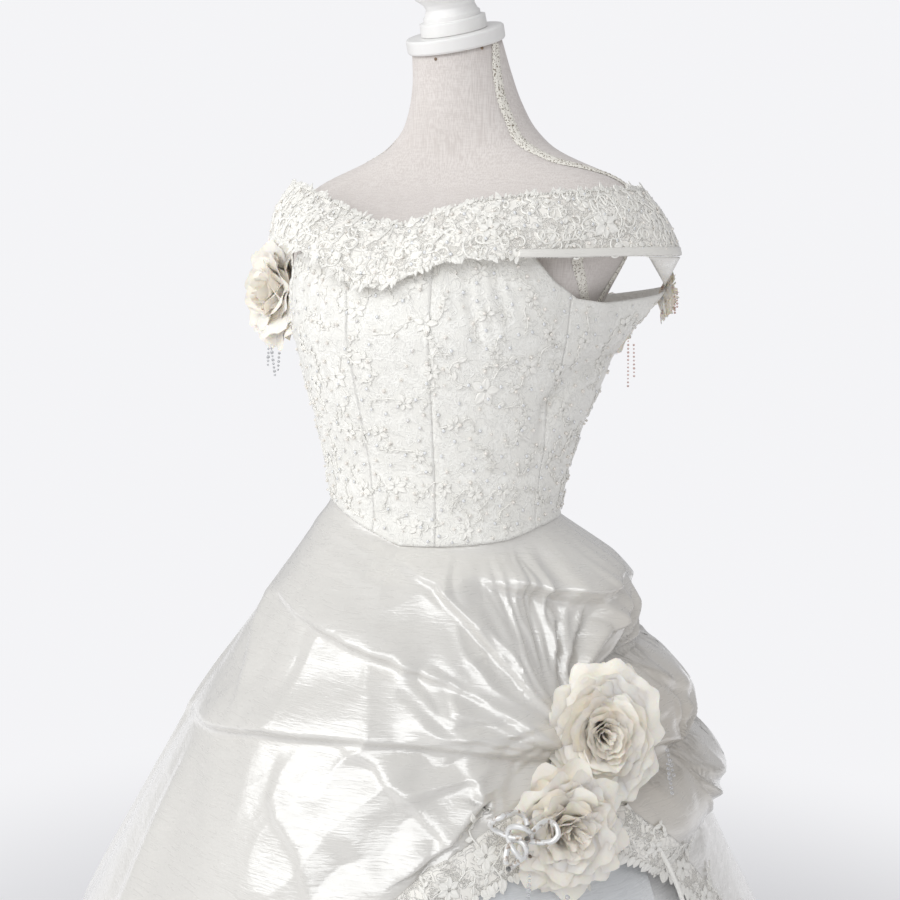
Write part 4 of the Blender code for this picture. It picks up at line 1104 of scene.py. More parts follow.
def make_organza(name, colour, roughness, gloss, alpha=None, deep=None):
    """Crisp crystal organza, its gloss broken up by crumples and threads; a deep colour paints shade on the
    puffs.
    """
    finish = Finish(name, colour, roughness, Specular_IOR_Level=1.0, Coat_Weight=gloss, Coat_IOR=1.95,
                    Coat_Roughness=0.10, Sheen_Weight=0.1)
    facets = finish.cells(0.021, "F1", (0.8, 0.8, 1.0))
    ripples = finish.noise(0.007, 4.0, (0.6, 0.6, 1.0), warp=1.2, rough=0.6)
    threads = finish.noise(0.0013, 2.0, (0.07, 0.07, 1.0), warp=0.3)
    scratches = finish.noise(0.0030, 3.0, (0.12, 0.12, 1.0), warp=1.0)
    darker, paler = (tuple(c * share for c in colour) for share in (0.97, 1.03))
    tone = finish.blend(finish.noise(0.10, 3.0), darker, paler)
    # Painted shade: the puffs' side away from the light is drawn in the deep colour
    if deep is not None:
        place = finish.node("SeparateXYZ", {0: finish.place()}).outputs
        aside = finish.step(place["X"], *PUFF_SHADE)
        ahead = finish.step(place["Y"], *PUFF_SHADE_BACK, 1.0, 0.0)
        level = finish.step(place["Z"], *PUFF_SHADE_LOW)
        near = finish.math("MULTIPLY", finish.math("MULTIPLY", aside, level), ahead)
        tone = finish.blend(near, tone, deep)
    finish.join(tone, "Base Color")
    finish.join(finish.step(scratches, 0.3, 0.7, roughness * 0.6, roughness * 1.4), "Roughness")
    first = finish.bump(facets, 0.0012, 0.40, socket=None)
    second = finish.bump(ripples, 0.0006, 0.40, first, socket=None)
    third = finish.bump(scratches, 0.0006, 0.55, second, socket=None)
    last = finish.bump(threads, 0.00025, 0.7, third)
    finish.join(last, "Coat Normal")
    if alpha is not None:
        weave = finish.noise(0.05, 2.0)
        finish.join(finish.step(weave, 0.2, 0.8, alpha - 0.08, alpha + 0.08), "Alpha")
    return finish.material


def make_rose_cloth():
    """Cream organza, with painted warm amber shade where its folds go deep into the rose."""
    finish = Finish("Cream rose organza", (0.90, 0.84, 0.74), 0.50, Sheen_Weight=0.4, Subsurface_Weight=0.35,
                    Subsurface_Radius=(0.010, 0.007, 0.004), Subsurface_Scale=1.0)
    deep = finish.node("Attribute", attribute_name="depth", attribute_type="GEOMETRY").outputs["Fac"]
    blotch = finish.noise(0.014, 3.0, warp=0.8)
    pale = finish.blend(blotch, (0.99, 0.90, 0.78), (0.99, 0.955, 0.88))
    # Painted shade: warm amber darkens the petals deep inside the rose, where shade falls
    shaded_amber = finish.blend(finish.step(deep, 0.55, 1.0), pale, (0.90, 0.72, 0.50))
    spots = finish.step(finish.noise(0.011, 2.0), 0.62, 0.78, 0.0, 0.4)
    finish.join(finish.blend(spots, shaded_amber, (0.86, 0.71, 0.50)), "Base Color")
    creases = finish.noise(0.010, 4.0, kind="RIDGED_MULTIFRACTAL", warp=0.8)
    creased = finish.bump(creases, 0.0012, 0.5, socket=None)
    finish.bump(finish.noise(0.0012, 2.0), 0.0003, 0.6, creased)
    return finish.material


def make_paint():
    """White paint over turned wood, worn a little thin."""
    finish = Finish("White painted wood", (0.86, 0.85, 0.83), 0.36, Coat_Weight=0.3, Coat_Roughness=0.2)
    grain = finish.noise(0.010, 4.0, (1.0, 1.0, 0.15))
    finish.join(finish.blend(grain, (0.82, 0.81, 0.79), (0.89, 0.88, 0.87)), "Base Color")
    finish.join(finish.step(finish.noise(0.02), 0.3, 0.7, 0.28, 0.46), "Roughness")
    finish.bump(grain, 0.0004, 0.3)
    return finish.material


def make_pearl():
    """Nacre with a warm cast."""
    finish = Finish("Pearl", (0.84, 0.80, 0.74), 0.22, Coat_Weight=0.7, Coat_Roughness=0.08)
    tone = finish.noise(0.006, 1.0)
    finish.join(finish.blend(tone, (0.80, 0.75, 0.68), (0.90, 0.87, 0.83)), "Base Color")
    return finish.material


def make_plain(name, colour, roughness, metallic=0.0, spot=(0.3, 0.2, 0.12)):
    """A small hard trim, its colour a little uneven."""
    finish = Finish(name, colour, roughness, Metallic=metallic, Coat_Weight=0.3)
    tone = finish.step(finish.noise(0.006, 2.0), 0.52, 0.70, 0.0, 0.8)
    finish.join(finish.blend(tone, colour, spot), "Base Color")
    return finish.material


def make_crystal(name, colour):
    """Clear cut beads."""
    finish = Finish(name, colour, 0.06, Transmission_Weight=0.75, IOR=1.5)
    tone = finish.noise(0.004, 1.0)
    finish.join(finish.blend(tone, tuple(c * 0.85 for c in colour), colour), "Base Color")
    return finish.material


def make_braid(name, low, high):
    """Gimp braid, its threads speckled light and dark."""
    finish = Finish(name, high, 0.7)
    fleck = finish.noise(0.0016, 2.0)
    finish.join(finish.blend(finish.step(fleck, 0.34, 0.48), low, high), "Base Color")
    finish.bump(fleck, 0.0003, 0.8)
    return finish.material


linen = make_linen()
satin_lace = make_satin_lace()
lace = make_lace()
# deep is the colour of the painted shade on the puffs
organza = make_organza("Ivory crystal organza", (0.735, 0.715, 0.675), 0.38, 1.0, deep=(0.62, 0.56, 0.475))
sheer = make_organza("Cool sheer organza", (0.92, 0.95, 0.97), 0.30, 0.60, alpha=0.66)
lining = make_organza("Ivory taffeta underskirt", (0.93, 0.93, 0.93), 0.42, 0.25)
binding = make_organza("Ivory satin binding", (0.84, 0.82, 0.77), 0.36, 0.30)
cord_finish = make_cord()
rose_cloth = make_rose_cloth()
paint = make_paint()
pearl = make_pearl()
crystal = make_crystal("Clear crystal", (0.93, 0.94, 0.96))
blush = make_crystal("Blush crystal", (0.95, 0.72, 0.67))
silver = make_plain("Silvered tube", (0.86, 0.86, 0.85), 0.30, 0.35)
dark = make_plain("Dark pin head", (0.20, 0.13, 0.08), 0.35, 0.0, (0.35, 0.24, 0.14))
sequin = make_plain("Clear sequin", (0.86, 0.87, 0.88), 0.12, 0.25, (0.80, 0.76, 0.72))
braid = make_braid("Speckled gimp braid", (0.22, 0.18, 0.13), (0.88, 0.85, 0.78))

dress = bpy.data.collections.new("wedding dress looks")
bpy.context.scene.collection.children.link(dress)


def make_form():
    """The linen torso and neck, through the same rings as the part's, smoothed between them."""
    columns = 112
    rows = 150
    heights = np.linspace(FORM_SECTIONS[0][0], FORM_SECTIONS[-1][0], rows)
    table = np.array([[along(FORM_SECTIONS, index, height) for index in range(1, 6)] for height in heights])
    for _ in range(3):
        inner = (table[:-2] + 2.0 * table[1:-1] + table[2:]) / 4.0
        table = np.vstack([table[:1], inner, table[-1:]])
    turn = np.radians(np.linspace(-180.0, 180.0, columns + 1))
    rings = []
    for height, (wide, deep, x, y, square) in zip(heights[::-1], table[::-1]):
        share = smooth(LEAN_STARTS, NECK_TOP, height)
        lean = NECK_LEAN * share
        side = NECK_SIDE_LEAN * share
        across = wide * power(np.sin(turn), square)
        forward = -deep * power(np.cos(turn), square)
        z = height + forward * math.sin(lean) + across * math.sin(side)
        rings.append(np.stack([x + across * math.cos(side), y + forward * math.cos(lean), z], -1))
    grid = np.array(rings)
    top = np.repeat(grid[:1].mean(axis=1, keepdims=True), columns + 1, axis=1)
    low = np.repeat(grid[-1:].mean(axis=1, keepdims=True), columns + 1, axis=1)
    mesh = grid_mesh("linen_torso", np.vstack([top, grid, low]))
    return close(add("linen_torso", mesh, linen, ("form_torso",)))


def lathe(name, outline, finish, nodes, matrix=Matrix.Identity(4), steps=96):
    """A turned piece: an outline of radius and height, top to bottom, swept round Z."""
    outline = np.array(outline)
    lengths = running(np.linalg.norm(np.diff(outline, axis=0), axis=1))
    fine = np.unique(np.concatenate([np.linspace(0.0, lengths[-1], 90), lengths]))
    radius = np.interp(fine, lengths, outline[:, 0])[:, None]
    height = np.interp(fine, lengths, outline[:, 1])[:, None]
    turn = np.radians(np.linspace(-180.0, 180.0, steps + 1))[None, :]
    points = np.stack([radius * np.sin(turn), -radius * np.cos(turn), height + 0.0 * turn], -1)
    mesh = grid_mesh(name, points)
    mesh.transform(matrix)
    return close(add(name, mesh, finish, nodes))


def make_stand():
    """Base, pole, neck cap and finial, turned finely from the part's sizes."""
    step = BASE_HEIGHT * 0.45
    lathe("turned_base", (
        (0.0, BASE_HEIGHT), (POLE_RADIUS * 1.6, BASE_HEIGHT), (BASE_RADIUS * 0.55, BASE_HEIGHT * 0.86),
        (BASE_RADIUS * 0.90, BASE_HEIGHT * 0.62), (BASE_RADIUS * 0.985, step), (BASE_RADIUS, step * 0.6),
        (BASE_RADIUS, 0.0), (0.0, 0.0),
    ), paint, ("stand_base",))
    lathe("turned_pole", (
        (0.0, FORM_BOTTOM - LAID_ON), (POLE_RADIUS, FORM_BOTTOM - LAID_ON),
        (POLE_RADIUS, BASE_HEIGHT + LAID_ON), (0.0, BASE_HEIGHT + LAID_ON),
    ), paint, ("stand_pole",))
    turn = Matrix.Rotation(NECK_LEAN, 4, "X") @ Matrix.Rotation(-NECK_SIDE_LEAN, 4, "Y")
    seat = Vector((NECK_TOP_X, NECK_TOP_Y, NECK_TOP))
    cap = Matrix.Translation(seat + turn @ Vector((0.0, 0.0, CAP_SEAT))) @ turn
    lathe("turned_cap", (
        (0.0, CAP_HEIGHT), (CAP_RADIUS * 0.975, CAP_HEIGHT), (CAP_RADIUS, CAP_HEIGHT * 0.90),
        (CAP_RADIUS, CAP_HEIGHT * 0.12), (CAP_RADIUS * 0.975, 0.0), (0.0, 0.0),
    ), paint, ("neck_cap",), cap)
    finial = Matrix.Translation(seat + turn @ Vector((0.0, 0.0, CAP_SEAT + CAP_HEIGHT + LAID_ON))) @ turn
    outline = (
        (0.0, 0.086), (0.014, 0.083), (0.025, 0.072), (0.032, 0.058), (0.0375, 0.048), (0.038, 0.042),
        (0.034, 0.036), (0.027, 0.03), (0.025, 0.025), (0.0275, 0.019), (0.0295, 0.0175), (0.0295, 0.0135),
        (0.034, 0.0125), (0.0345, 0.0), (0.0, 0.0),
    )
    lathe("turned_finial", outline, paint, ("neck_finial",), finial)


def bodice_panel_grid(start, end):
    """Points of one bodice panel, with its seamed edges drawn in a little."""
    angle = columns_between(start, end, int(math.radians(end - start) * BODICE_RADIUS / GRID_STEP))
    low = along(BODICE_EDGES, 1, angle) + SEAM / 2.0
    high = along(BODICE_EDGES, 2, angle)
    points = bodice_point(angle, rows_between(high, low, int(BODICE_TALL / GRID_STEP)))
    to_seam = np.minimum(angle - start, end - angle) * math.radians(1.0) * BODICE_RADIUS
    return raised(points, -SEAM_SINK * np.exp(-((to_seam / SEAM_HALF) ** 2)))


def make_bodice():
    """Seven panels of lace-covered satin."""
    spans = [("front_centre", "bodice_front_centre", -FRONT_SEAM, FRONT_SEAM)]
    for side, sign in (("right", -1.0), ("left", 1.0)):
        for kind, near, far in (
            ("front", FRONT_SEAM, SIDE_SEAM),
            ("side", SIDE_SEAM, WING_ANGLE),
            ("back", WING_ANGLE, 180.0),
        ):
            start, end = sorted((sign * near, sign * far))
            spans.append((f"{kind}_{side}", f"bodice_{kind}_{side}", start, end))
    for name, node, start, end in spans:
        grid = bodice_panel_grid(start, end)
        panel("panel_" + name, grid, SATIN, satin_lace, (node,))


def collar_grid(start, end):
    """Points of one length of the collar."""
    angle = columns_between(start, end, int(math.radians(end - start) * COLLAR_ROUND / GRID_STEP))
    height = rows_between(along(COLLAR_EDGES, 1, angle), along(COLLAR_EDGES, 2, angle), 20)
    return collar_point(angle, height)


def make_collar():
    """Two lengths of lace, the satin binding and the tabs."""
    for side, start, end in (("right", -COLLAR_END, COLLAR_JOIN), ("left", COLLAR_JOIN, COLLAR_END)):
        panel("lace_" + side, collar_grid(start, end), LACE, lace, ("collar_lace_" + side,))
    angle = columns_between(BINDING_SHOWS, COLLAR_END, 150)
    top = along(COLLAR_EDGES, 1, angle)
    low = along(COLLAR_EDGES, 2, angle)
    start = top + (low - top) * BINDING_FROM
    share = shares(7)
    strip = collar_point(angle, start + (low - start) * share)
    strip = raised(strip, LAID_ON + BINDING_THICK + BINDING_PUFF * np.sin(math.pi * share))
    panel("satin_binding", strip, BINDING_THICK, binding, ("collar_binding",))
    for side, sign in (("right", -1.0), ("left", 1.0)):
        near = SIDE_SEAM + math.degrees(SEAM / BODICE_RADIUS) / 2.0
        far = WING_ANGLE - math.degrees(WING_SEAM / WING_RADIUS) / 2.0
        pitch = (far - near) / 9.0
        pair = np.array((far - pitch, far)) * sign
        ends = bodice_point(pair, along(BODICE_EDGES, 2, pair))
        reach = np.linspace(0.0, 1.0, 14)
        wide = TAB_WIDE[side]
        span = (COLLAR_END - wide + wide * reach) * sign
        upper = collar_point(span, along(COLLAR_EDGES, 2, span))
        lower = ends[0] + (ends[1] - ends[0]) * (0.1 + 0.8 * reach)[:, None]
        drop = np.array((0.0, 0.0, SEAM * TAB_LIFT))
        share = np.linspace(0.0, 1.0, 16)[:, None, None]
        points = upper - drop + (lower + drop - upper + drop) * share
        if sign < 0:
            points = points[:, ::-1]
        panel("tab_" + side, points, LACE, binding, ("collar_tab_" + side,))


def from_waist(points, angle, height, seam, inset):
    """Cloth that comes out from under the bodice's lower edge and reaches its own form a little below."""
    start = bodice_point(angle, seam) - outward_at(angle) * inset
    start = np.broadcast_to(start, points.shape).copy()
    start[..., 2] = height
    share = (smooth(0.0, WAIST_RUN, seam - height) ** WAIST_SPRING)[..., None]
    return start + (points - start) * share


def overskirt_grid(start, end, columns, rows):
    """Points of one overskirt gore, from the waist seam down to its edge."""
    angle = columns_between(start, end, columns)
    top = along(BODICE_EDGES, 1, wrapped(angle)) - SEAM / 2.0
    bottom = along(OVERSKIRT_EDGE, 1, wrapped(angle))
    down = shares(rows)
    down = down + (down ** TALL_CROWDS - down) * smooth(TALL_FROM, TALL_FULL, top - bottom)
    height = top + (bottom - top) * down
    below = from_waist(skirt_point(angle, height), angle, height, top, WAIST_INSET)
    return np.vstack([below[:1] + np.array((0.0, 0.0, TUCK_UP)), below])


def make_skirt():
    """Overskirt gores, lace edgings, the sheer layer and the underskirt."""
    gores = (
        ("gore_front", "overskirt_front", FRONT_GORE_RIGHT, FRONT_GORE_LEFT, 190, 230),
        ("gore_hip", "overskirt_hip_left", FRONT_GORE_LEFT, HIP_GORE_BACK, 110, 120),
        ("gore_back_left", "overskirt_back_left", HIP_GORE_BACK, 180.0, 90, 170),
        ("gore_back_right", "overskirt_back_right", 180.0, 360.0 + FRONT_GORE_RIGHT, 120, 180),
    )
    for name, node, start, end, columns, rows in gores:
        panel(name, overskirt_grid(start, end, columns, rows), 0.0, organza, (node,))
    stops = (TRIM_FROM, FRONT_GORE_LEFT, HIP_GORE_BACK, TRIM_TO)
    for name, start, end in zip(("front", "hip", "back"), stops, stops[1:]):
        angle = columns_between(start, end, int((end - start) * TRIM_COLUMNS))
        edge = along(OVERSKIRT_EDGE, 1, angle)
        points = raised(skirt_point(angle, edge + TRIM_WIDTH * (1.0 - shares(16))), EDGING_LIFT)
        panel("edging_" + name, points, LACE, lace, ("lace_edging_" + name,))
    angle = columns_between(ORGANZA_FROM, ORGANZA_TO, 120)
    top = along(OVERSKIRT_EDGE, 1, angle) + ORGANZA_TUCK
    share = shares(120)
    height = top + (ORGANZA_HEM - top) * share
    spread = angle + (angle - ORGANZA_MIDDLE) * ORGANZA_SPREAD * share
    inside = UNDER_AT_WAIST + (ORGANZA_LAYER - UNDER_AT_WAIST) * smooth(0.0, 0.3, share)
    panel("sheer_layer", skirt_point(spread, height, inside, dressed=False), 0.0, sheer,
          ("organza_layer",))
    for name, start in (("front", -45.0), ("left", 45.0), ("back", 135.0), ("right", -135.0)):
        angle = columns_between(start, start + 90.0, 60)
        waist = along(BODICE_EDGES, 1, wrapped(angle))
        top = waist - UNDER_DROP
        height = top + (HEM_HEIGHT - top) * shares(80) ** UNDER_CROWDS
        inside = UNDER_AT_WAIST + (UNDER_LAYER - UNDER_AT_WAIST) * smooth(UNDER_MEETS, UNDER_PARTS, height)
        points = skirt_point(angle, height, inside, dressed=False)
        points = from_waist(points, angle, height, waist - SEAM / 2.0, UNDER_INSET)
        panel("under_" + name, points, 0.0, lining, ("underskirt_" + name,))


def petal_grid(radius, open_share, width, height, curl, wave, phase, crush, chance):
    """One petal round the Z axis: rows run from its rim down to its foot."""
    columns = 25
    rows = 11
    side = np.linspace(-1.0, 1.0, columns)[None, :]
    up = np.linspace(1.0, 0.0, rows)[:, None]
    angle = phase + side * width * (0.62 + 0.38 * np.sin(math.pi * np.clip(up, 0.05, 1.0) ** 0.8))
    crown = 1.0 - 0.26 * side ** 2 - 0.10 * side ** 4
    lift = height * up * crown
    lean = open_share * up ** 1.4
    rim = smooth(0.60, 1.0, up)
    out = radius * (0.42 + 0.58 * up ** 0.7) + height * lean + curl * rim ** 2
    first, second, third = chance.uniform(0.0, 6.28, 3)
    out = out + wave * rim * (np.sin(side * 8.0 + first) + 0.5 * np.sin(side * 17.0 + second))
    fold = np.sin(side * chance.uniform(3.0, 5.0) + up * 4.0 + third)
    fold = fold + 0.6 * np.sin(side * 9.0 - up * 7.0 + first)
    out = out + crush * 0.09 * radius * fold * smooth(0.0, 0.4, up)
    lift = lift - curl * 0.9 * rim ** 2 + 0.6 * wave * rim * np.cos(side * 11.0 + second)
    lift = lift + crush * 0.10 * height * np.sin(side * 5.0 + up * 3.0 + second) * up
    return np.stack([out * np.sin(angle), -out * np.cos(angle), lift + 0.0 * angle], -1)


def make_rose(name, nodes, centre, facing, radius, depth, tall, count, crush, seed):
    """A cloth rose of overlapping petals, from a tight spiral to crumpled, about its centre."""
    chance = np.random.RandomState(seed)
    grids = []
    shade_depths = []
    for number in range(count):
        share = number / (count - 1.0)
        phase = number * PETAL_TURN + chance.uniform(-0.25, 0.25) * (1.0 + crush)
        base = radius * (0.04 + 0.74 * share) * (1.0 + crush * chance.uniform(-0.18, 0.10))
        high = depth * (1.02 - 0.46 * share ** 1.5) * chance.uniform(0.92, 1.06)
        opening = 0.02 + (0.12 + 0.46 * crush) * share ** 1.6
        width = 2.3 - 1.05 * share
        curl = radius * (0.03 + 0.13 * share) * chance.uniform(0.6, 1.4)
        wave = radius * (0.010 + 0.040 * share) * (0.55 + 0.6 * crush)
        grid = petal_grid(base, opening, width, high, curl, wave, phase, crush, chance)
        grid[..., 2] -= depth * 0.5
        grid[..., 0] += crush * radius * chance.uniform(-0.12, 0.12)
        grid[..., 1] *= tall
        grids.append(grid)
        inner = shares(grid.shape[0]) + np.zeros(grid.shape[:2])
        # How deep each point lies in the rose, which sets its painted amber shade
        shade_depths.append(np.clip(inner * 1.15 - 0.25 + chance.uniform(-0.15, 0.15), 0.0, 1.0))
    aim = Vector(facing).normalized()
    turn = aim.to_track_quat("Z", "Y").to_matrix().to_4x4()
    mesh = joined_grids(name, grids)
    shade = mesh.attributes.new("depth", "FLOAT", "POINT")
    shade.data.foreach_set("value", np.concatenate([d.ravel() for d in shade_depths]))
    mesh.transform(Matrix.Translation(Vector(centre)) @ turn)
    return add(name, mesh, rose_cloth, nodes)


def joined_grids(name, grids):
    """One mesh of several grids of points."""
    points = []
    faces = []
    start = 0
    for grid in grids:
        rows, columns = grid.shape[:2]
        faces.append(quads(rows, columns, start))
        points.append(grid.reshape(-1, 3))
        start += rows * columns
    return mesh_of(name, np.vstack(points), np.vstack(faces))


def make_roses():
    """The four roses that stand for their solids, and the tuft that shows behind the left shoulder."""
    for seed, (node, *sizes) in enumerate(ROSES):
        make_rose("petals_" + node, (node,), *sizes, 11 + seed)
    make_rose("tuft_shoulder_left", (), *TUFT, 19)


def make_flounce():
    """The ruffled flounce along the left of the opening."""
    columns = 24 * FLOUNCE_RUFFLES + 1
    share = np.linspace(0.0, 1.0, columns)
    angle = FLOUNCE_FROM + (FLOUNCE_TO - FLOUNCE_FROM) * share
    edge = along(OVERSKIRT_EDGE, 1, angle)
    outward = outward_at(angle)
    ground = skirt_point(angle, edge, dressed=False)
    root = skirt_point(angle, edge)
    proud = np.sum((root - ground) * outward, axis=-1)
    sunk = root[:, 2] - edge
    rows = []
    for down in np.linspace(0.0, 1.0, 18):
        ruffle = np.sin(2.0 * math.pi * FLOUNCE_RUFFLES * share + 1.1 * np.sin(9.0 * share))
        wave = FLOUNCE_WAVE * ruffle * down
        frill = FLOUNCE_FRILL * np.sin(2.0 * math.pi * 3.1 * FLOUNCE_RUFFLES * share) * down ** 3
        out = proud * (1.0 - down) + FLOUNCE_STANDS * down + wave + frill - ORGANZA * 0.5 * (1.0 - down)
        line = skirt_point(angle, edge - FLOUNCE_WIDTH * down, dressed=False) + outward * out[:, None]
        line[:, 2] += sunk * (1.0 - down) - 2.0 * SEAM
        rows.append(line)
    panel("flounce_ruffle", np.array(rows), 0.0, organza, ("flounce_left",))


def laid_mesh(name, patches, surface, finish):
    """Lace relief laid on a surface, as one piece."""
    return add(name, joined_grids(name, lay(surface, patches)), finish)


def make_braid_lines():
    """Gimp braid from the neck over each shoulder and round each armhole, and pins at the neck."""
    form = dress.objects["linen_torso"].data
    tree = BVHTree.FromPolygons([v.co[:] for v in form.vertices], [tuple(p.vertices) for p in form.polygons])
    grids = []
    for route in (NECK_BRAID, ARMHOLE_BRAID):
        for sign in (1.0, -1.0):
            back = BRAID_BACK if sign < 0.0 and route is NECK_BRAID else 0.0
            path = spline(np.array(route) * np.array((sign, 1.0, 1.0)) + np.array((0.0, back, 0.0)), 14)
            found = [tree.find_nearest(Vector(point)) for point in path]
            path = np.array([hit[0][:] for hit in found])
            normal = np.array([hit[1][:] for hit in found])
            for _ in range(4):
                path[1:-1] = (path[:-2] + 2.0 * path[1:-1] + path[2:]) / 4.0
                normal[1:-1] = (normal[:-2] + 2.0 * normal[1:-1] + normal[2:]) / 4.0
            run = running(np.linalg.norm(np.diff(path, axis=0), axis=1))
            fine = np.linspace(0.0, run[-1], int(run[-1] / BRAID_STEP))
            path = np.stack([np.interp(fine, run, path[:, k]) for k in range(3)], -1)
            normal = unit(np.stack([np.interp(fine, run, normal[:, k]) for k in range(3)], -1))
            aside = unit(np.cross(normal, np.gradient(path, axis=0)))
            wave = np.sin(2.0 * math.pi * fine / BRAID_PITCH)
            side = np.linspace(-1.0, 1.0, 9)
            lobes = 0.55 + 0.45 * np.abs(np.sin(math.pi * side * 1.5))
            half = BRAID_HALF * (1.0 + 0.10 * wave)[:, None] * side
            knots = 1.0 + 0.28 * wave[:, None] * np.cos(side * 4.0)
            high = BRAID_HIGH * lobes * np.sqrt(1.0 - 0.96 * side ** 2) * knots
            grids.append(path[:, None] + aside[:, None] * half[..., None] + normal[:, None] * high[..., None])
    add("gimp_braid", joined_grids("gimp_braid", grids), braid)
    pins = np.array([tree.find_nearest(Vector(spot))[0][:] for spot in NECK_PINS])
    beads("neck_pins", pins, NECK_PIN_RADIUS, dark)


def frayed_edge(chance, index, sign, end):
    """Leaves that stand out from one edge of the collar, from its right end on."""
    leaves = []
    relief = COLLAR_RELIEF * 0.8
    angle = -COLLAR_END
    while angle < end:
        spot = (angle, float(along(COLLAR_EDGES, index, angle)) - sign * FRAY_INSIDE)
        scallop = 0.5 + 0.5 * math.sin(math.radians(angle * COLLAR_SCALLOPS))
        long = chance.uniform(0.0035, 0.0065) * (0.7 + 0.8 * scallop)
        lean = sign * math.pi / 2.0 + chance.uniform(-1.1, 1.1)
        leaves.append(petal_patch(spot, COLLAR_ROUND, (0.0, 0.0), lean, long, long * 0.24, relief, 5))
        angle += math.degrees(chance.uniform(0.0016, 0.0036) / COLLAR_ROUND)
    return leaves


def make_lace_flowers():
    """Raised flowers, tendrils and leaves of the lace, its frayed edges, and pearls and sequins on them."""
    chance = np.random.RandomState(31)
    patches = []
    for angle, height, size in BODICE_FLOWERS:
        patches += motif_patches((angle, height), BODICE_RADIUS, size, LACE_RELIEF, chance, 3)
    bodice = (-180.0, 180.0, BODICE_RADIUS, BODICE_EDGES)
    for spot in scatter(chance, *bodice, taken=BODICE_FLOWERS, **BODICE_MOTIFS):
        patches += motif_patches(spot, BODICE_RADIUS, chance.uniform(0.006, 0.009), LACE_RELIEF, chance)
    laid_mesh("bodice_flowers", within(patches, BODICE_EDGES, 0.002), bodice_point, cord_finish)

    patches = []
    for angle, height, size in COLLAR_FLOWERS:
        spot = (angle, height)
        patches += motif_patches(spot, COLLAR_ROUND, size, COLLAR_RELIEF, chance, **COLLAR_FLOWER_STYLE)
    collar = (-COLLAR_END, COLLAR_END, COLLAR_ROUND, COLLAR_EDGES)
    for spot in scatter(chance, *collar, taken=COLLAR_FLOWERS, **COLLAR_MOTIFS):
        size = chance.uniform(0.0065, 0.0105)
        patches += motif_patches(spot, COLLAR_ROUND, size, COLLAR_RELIEF, chance, **COLLAR_RING_STYLE)
    kept = within(patches, COLLAR_EDGES, -0.004)
    kept += frayed_edge(chance, 1, 1.0, COLLAR_END)
    kept += frayed_edge(chance, 2, -1.0, BINDING_SHOWS)
    laid_mesh("collar_flowers", kept, collar_point, cord_finish)

    places = []
    for surface, area, tries, spacing in (
        (bodice_point, bodice, 5200, 0.0125),
        (collar_point, collar, 2400, 0.0115),
    ):
        spots = scatter(chance, *area, tries, spacing, 0.004)
        patch = np.array([(angle, height, BEAD_LIFT) for angle, height in spots])[None]
        places.append(lay(surface, [patch])[0][0])
    places = np.vstack(places)
    kinds = chance.uniform(0.0, 1.0, len(places))
    sizes = chance.uniform(*PEARL_RADII, len(places))
    beads("pearls", places[kinds < 0.5], sizes[kinds < 0.5], pearl)
    shiny = places[kinds >= 0.5]
    facing = unit((shiny - np.array((0.0, COLLAR_MIDDLE_Y, 0.0))) * np.array((1.0, 1.0, 0.0)))
    beads("sequins", shiny, SEQUIN_RADIUS, sequin, coarse=True, flat=facing)


def opening_edge(angle, pitch):
    """The opening's edge at an angle: its height, its rise in a degree, and the angle one pitch further."""
    edge = float(along(OVERSKIRT_EDGE, 1, angle))
    slope = float(along(OVERSKIRT_EDGE, 1, angle + 1.0)) - edge
    return edge, slope, angle + math.degrees(pitch / math.hypot(SKIRT_RADIUS, slope / math.radians(1.0)))


def make_edging_flowers():
    """Leaves that scallop the opening's lace edging, and flowers along its middle."""
    chance = np.random.RandomState(47)
    patches = []
    angle = TRIM_FROM + 1.0
    while angle < TRIM_TO:
        edge, slope, further = opening_edge(angle, EDGING_LEAF_PITCH)
        long = chance.uniform(0.007, 0.012)
        down = math.atan2(slope, math.radians(1.0) * SKIRT_RADIUS) - math.pi / 2.0 + chance.uniform(-0.5, 0.5)
        spot = (angle, edge + 0.003)
        patches.append(petal_patch(spot, SKIRT_RADIUS, (0.0, 0.0), down, long, long * 0.36, EDGING_RELIEF, 5))
        angle = further
    angle = TRIM_FROM + 2.0
    while angle < TRIM_TO - 2.0:
        edge, _, further = opening_edge(angle, EDGING_FLOWER_PITCH)
        middle = (angle, edge + TRIM_WIDTH * chance.uniform(0.35, 0.60))
        patches += motif_patches(middle, SKIRT_RADIUS, chance.uniform(0.008, 0.011), EDGING_RELIEF, chance)
        angle = further
    lifted = [patch + np.array((0.0, 0.0, EDGING_LIFT)) for patch in patches]
    laid_mesh("edging_flowers", lifted, skirt_point, cord_finish)


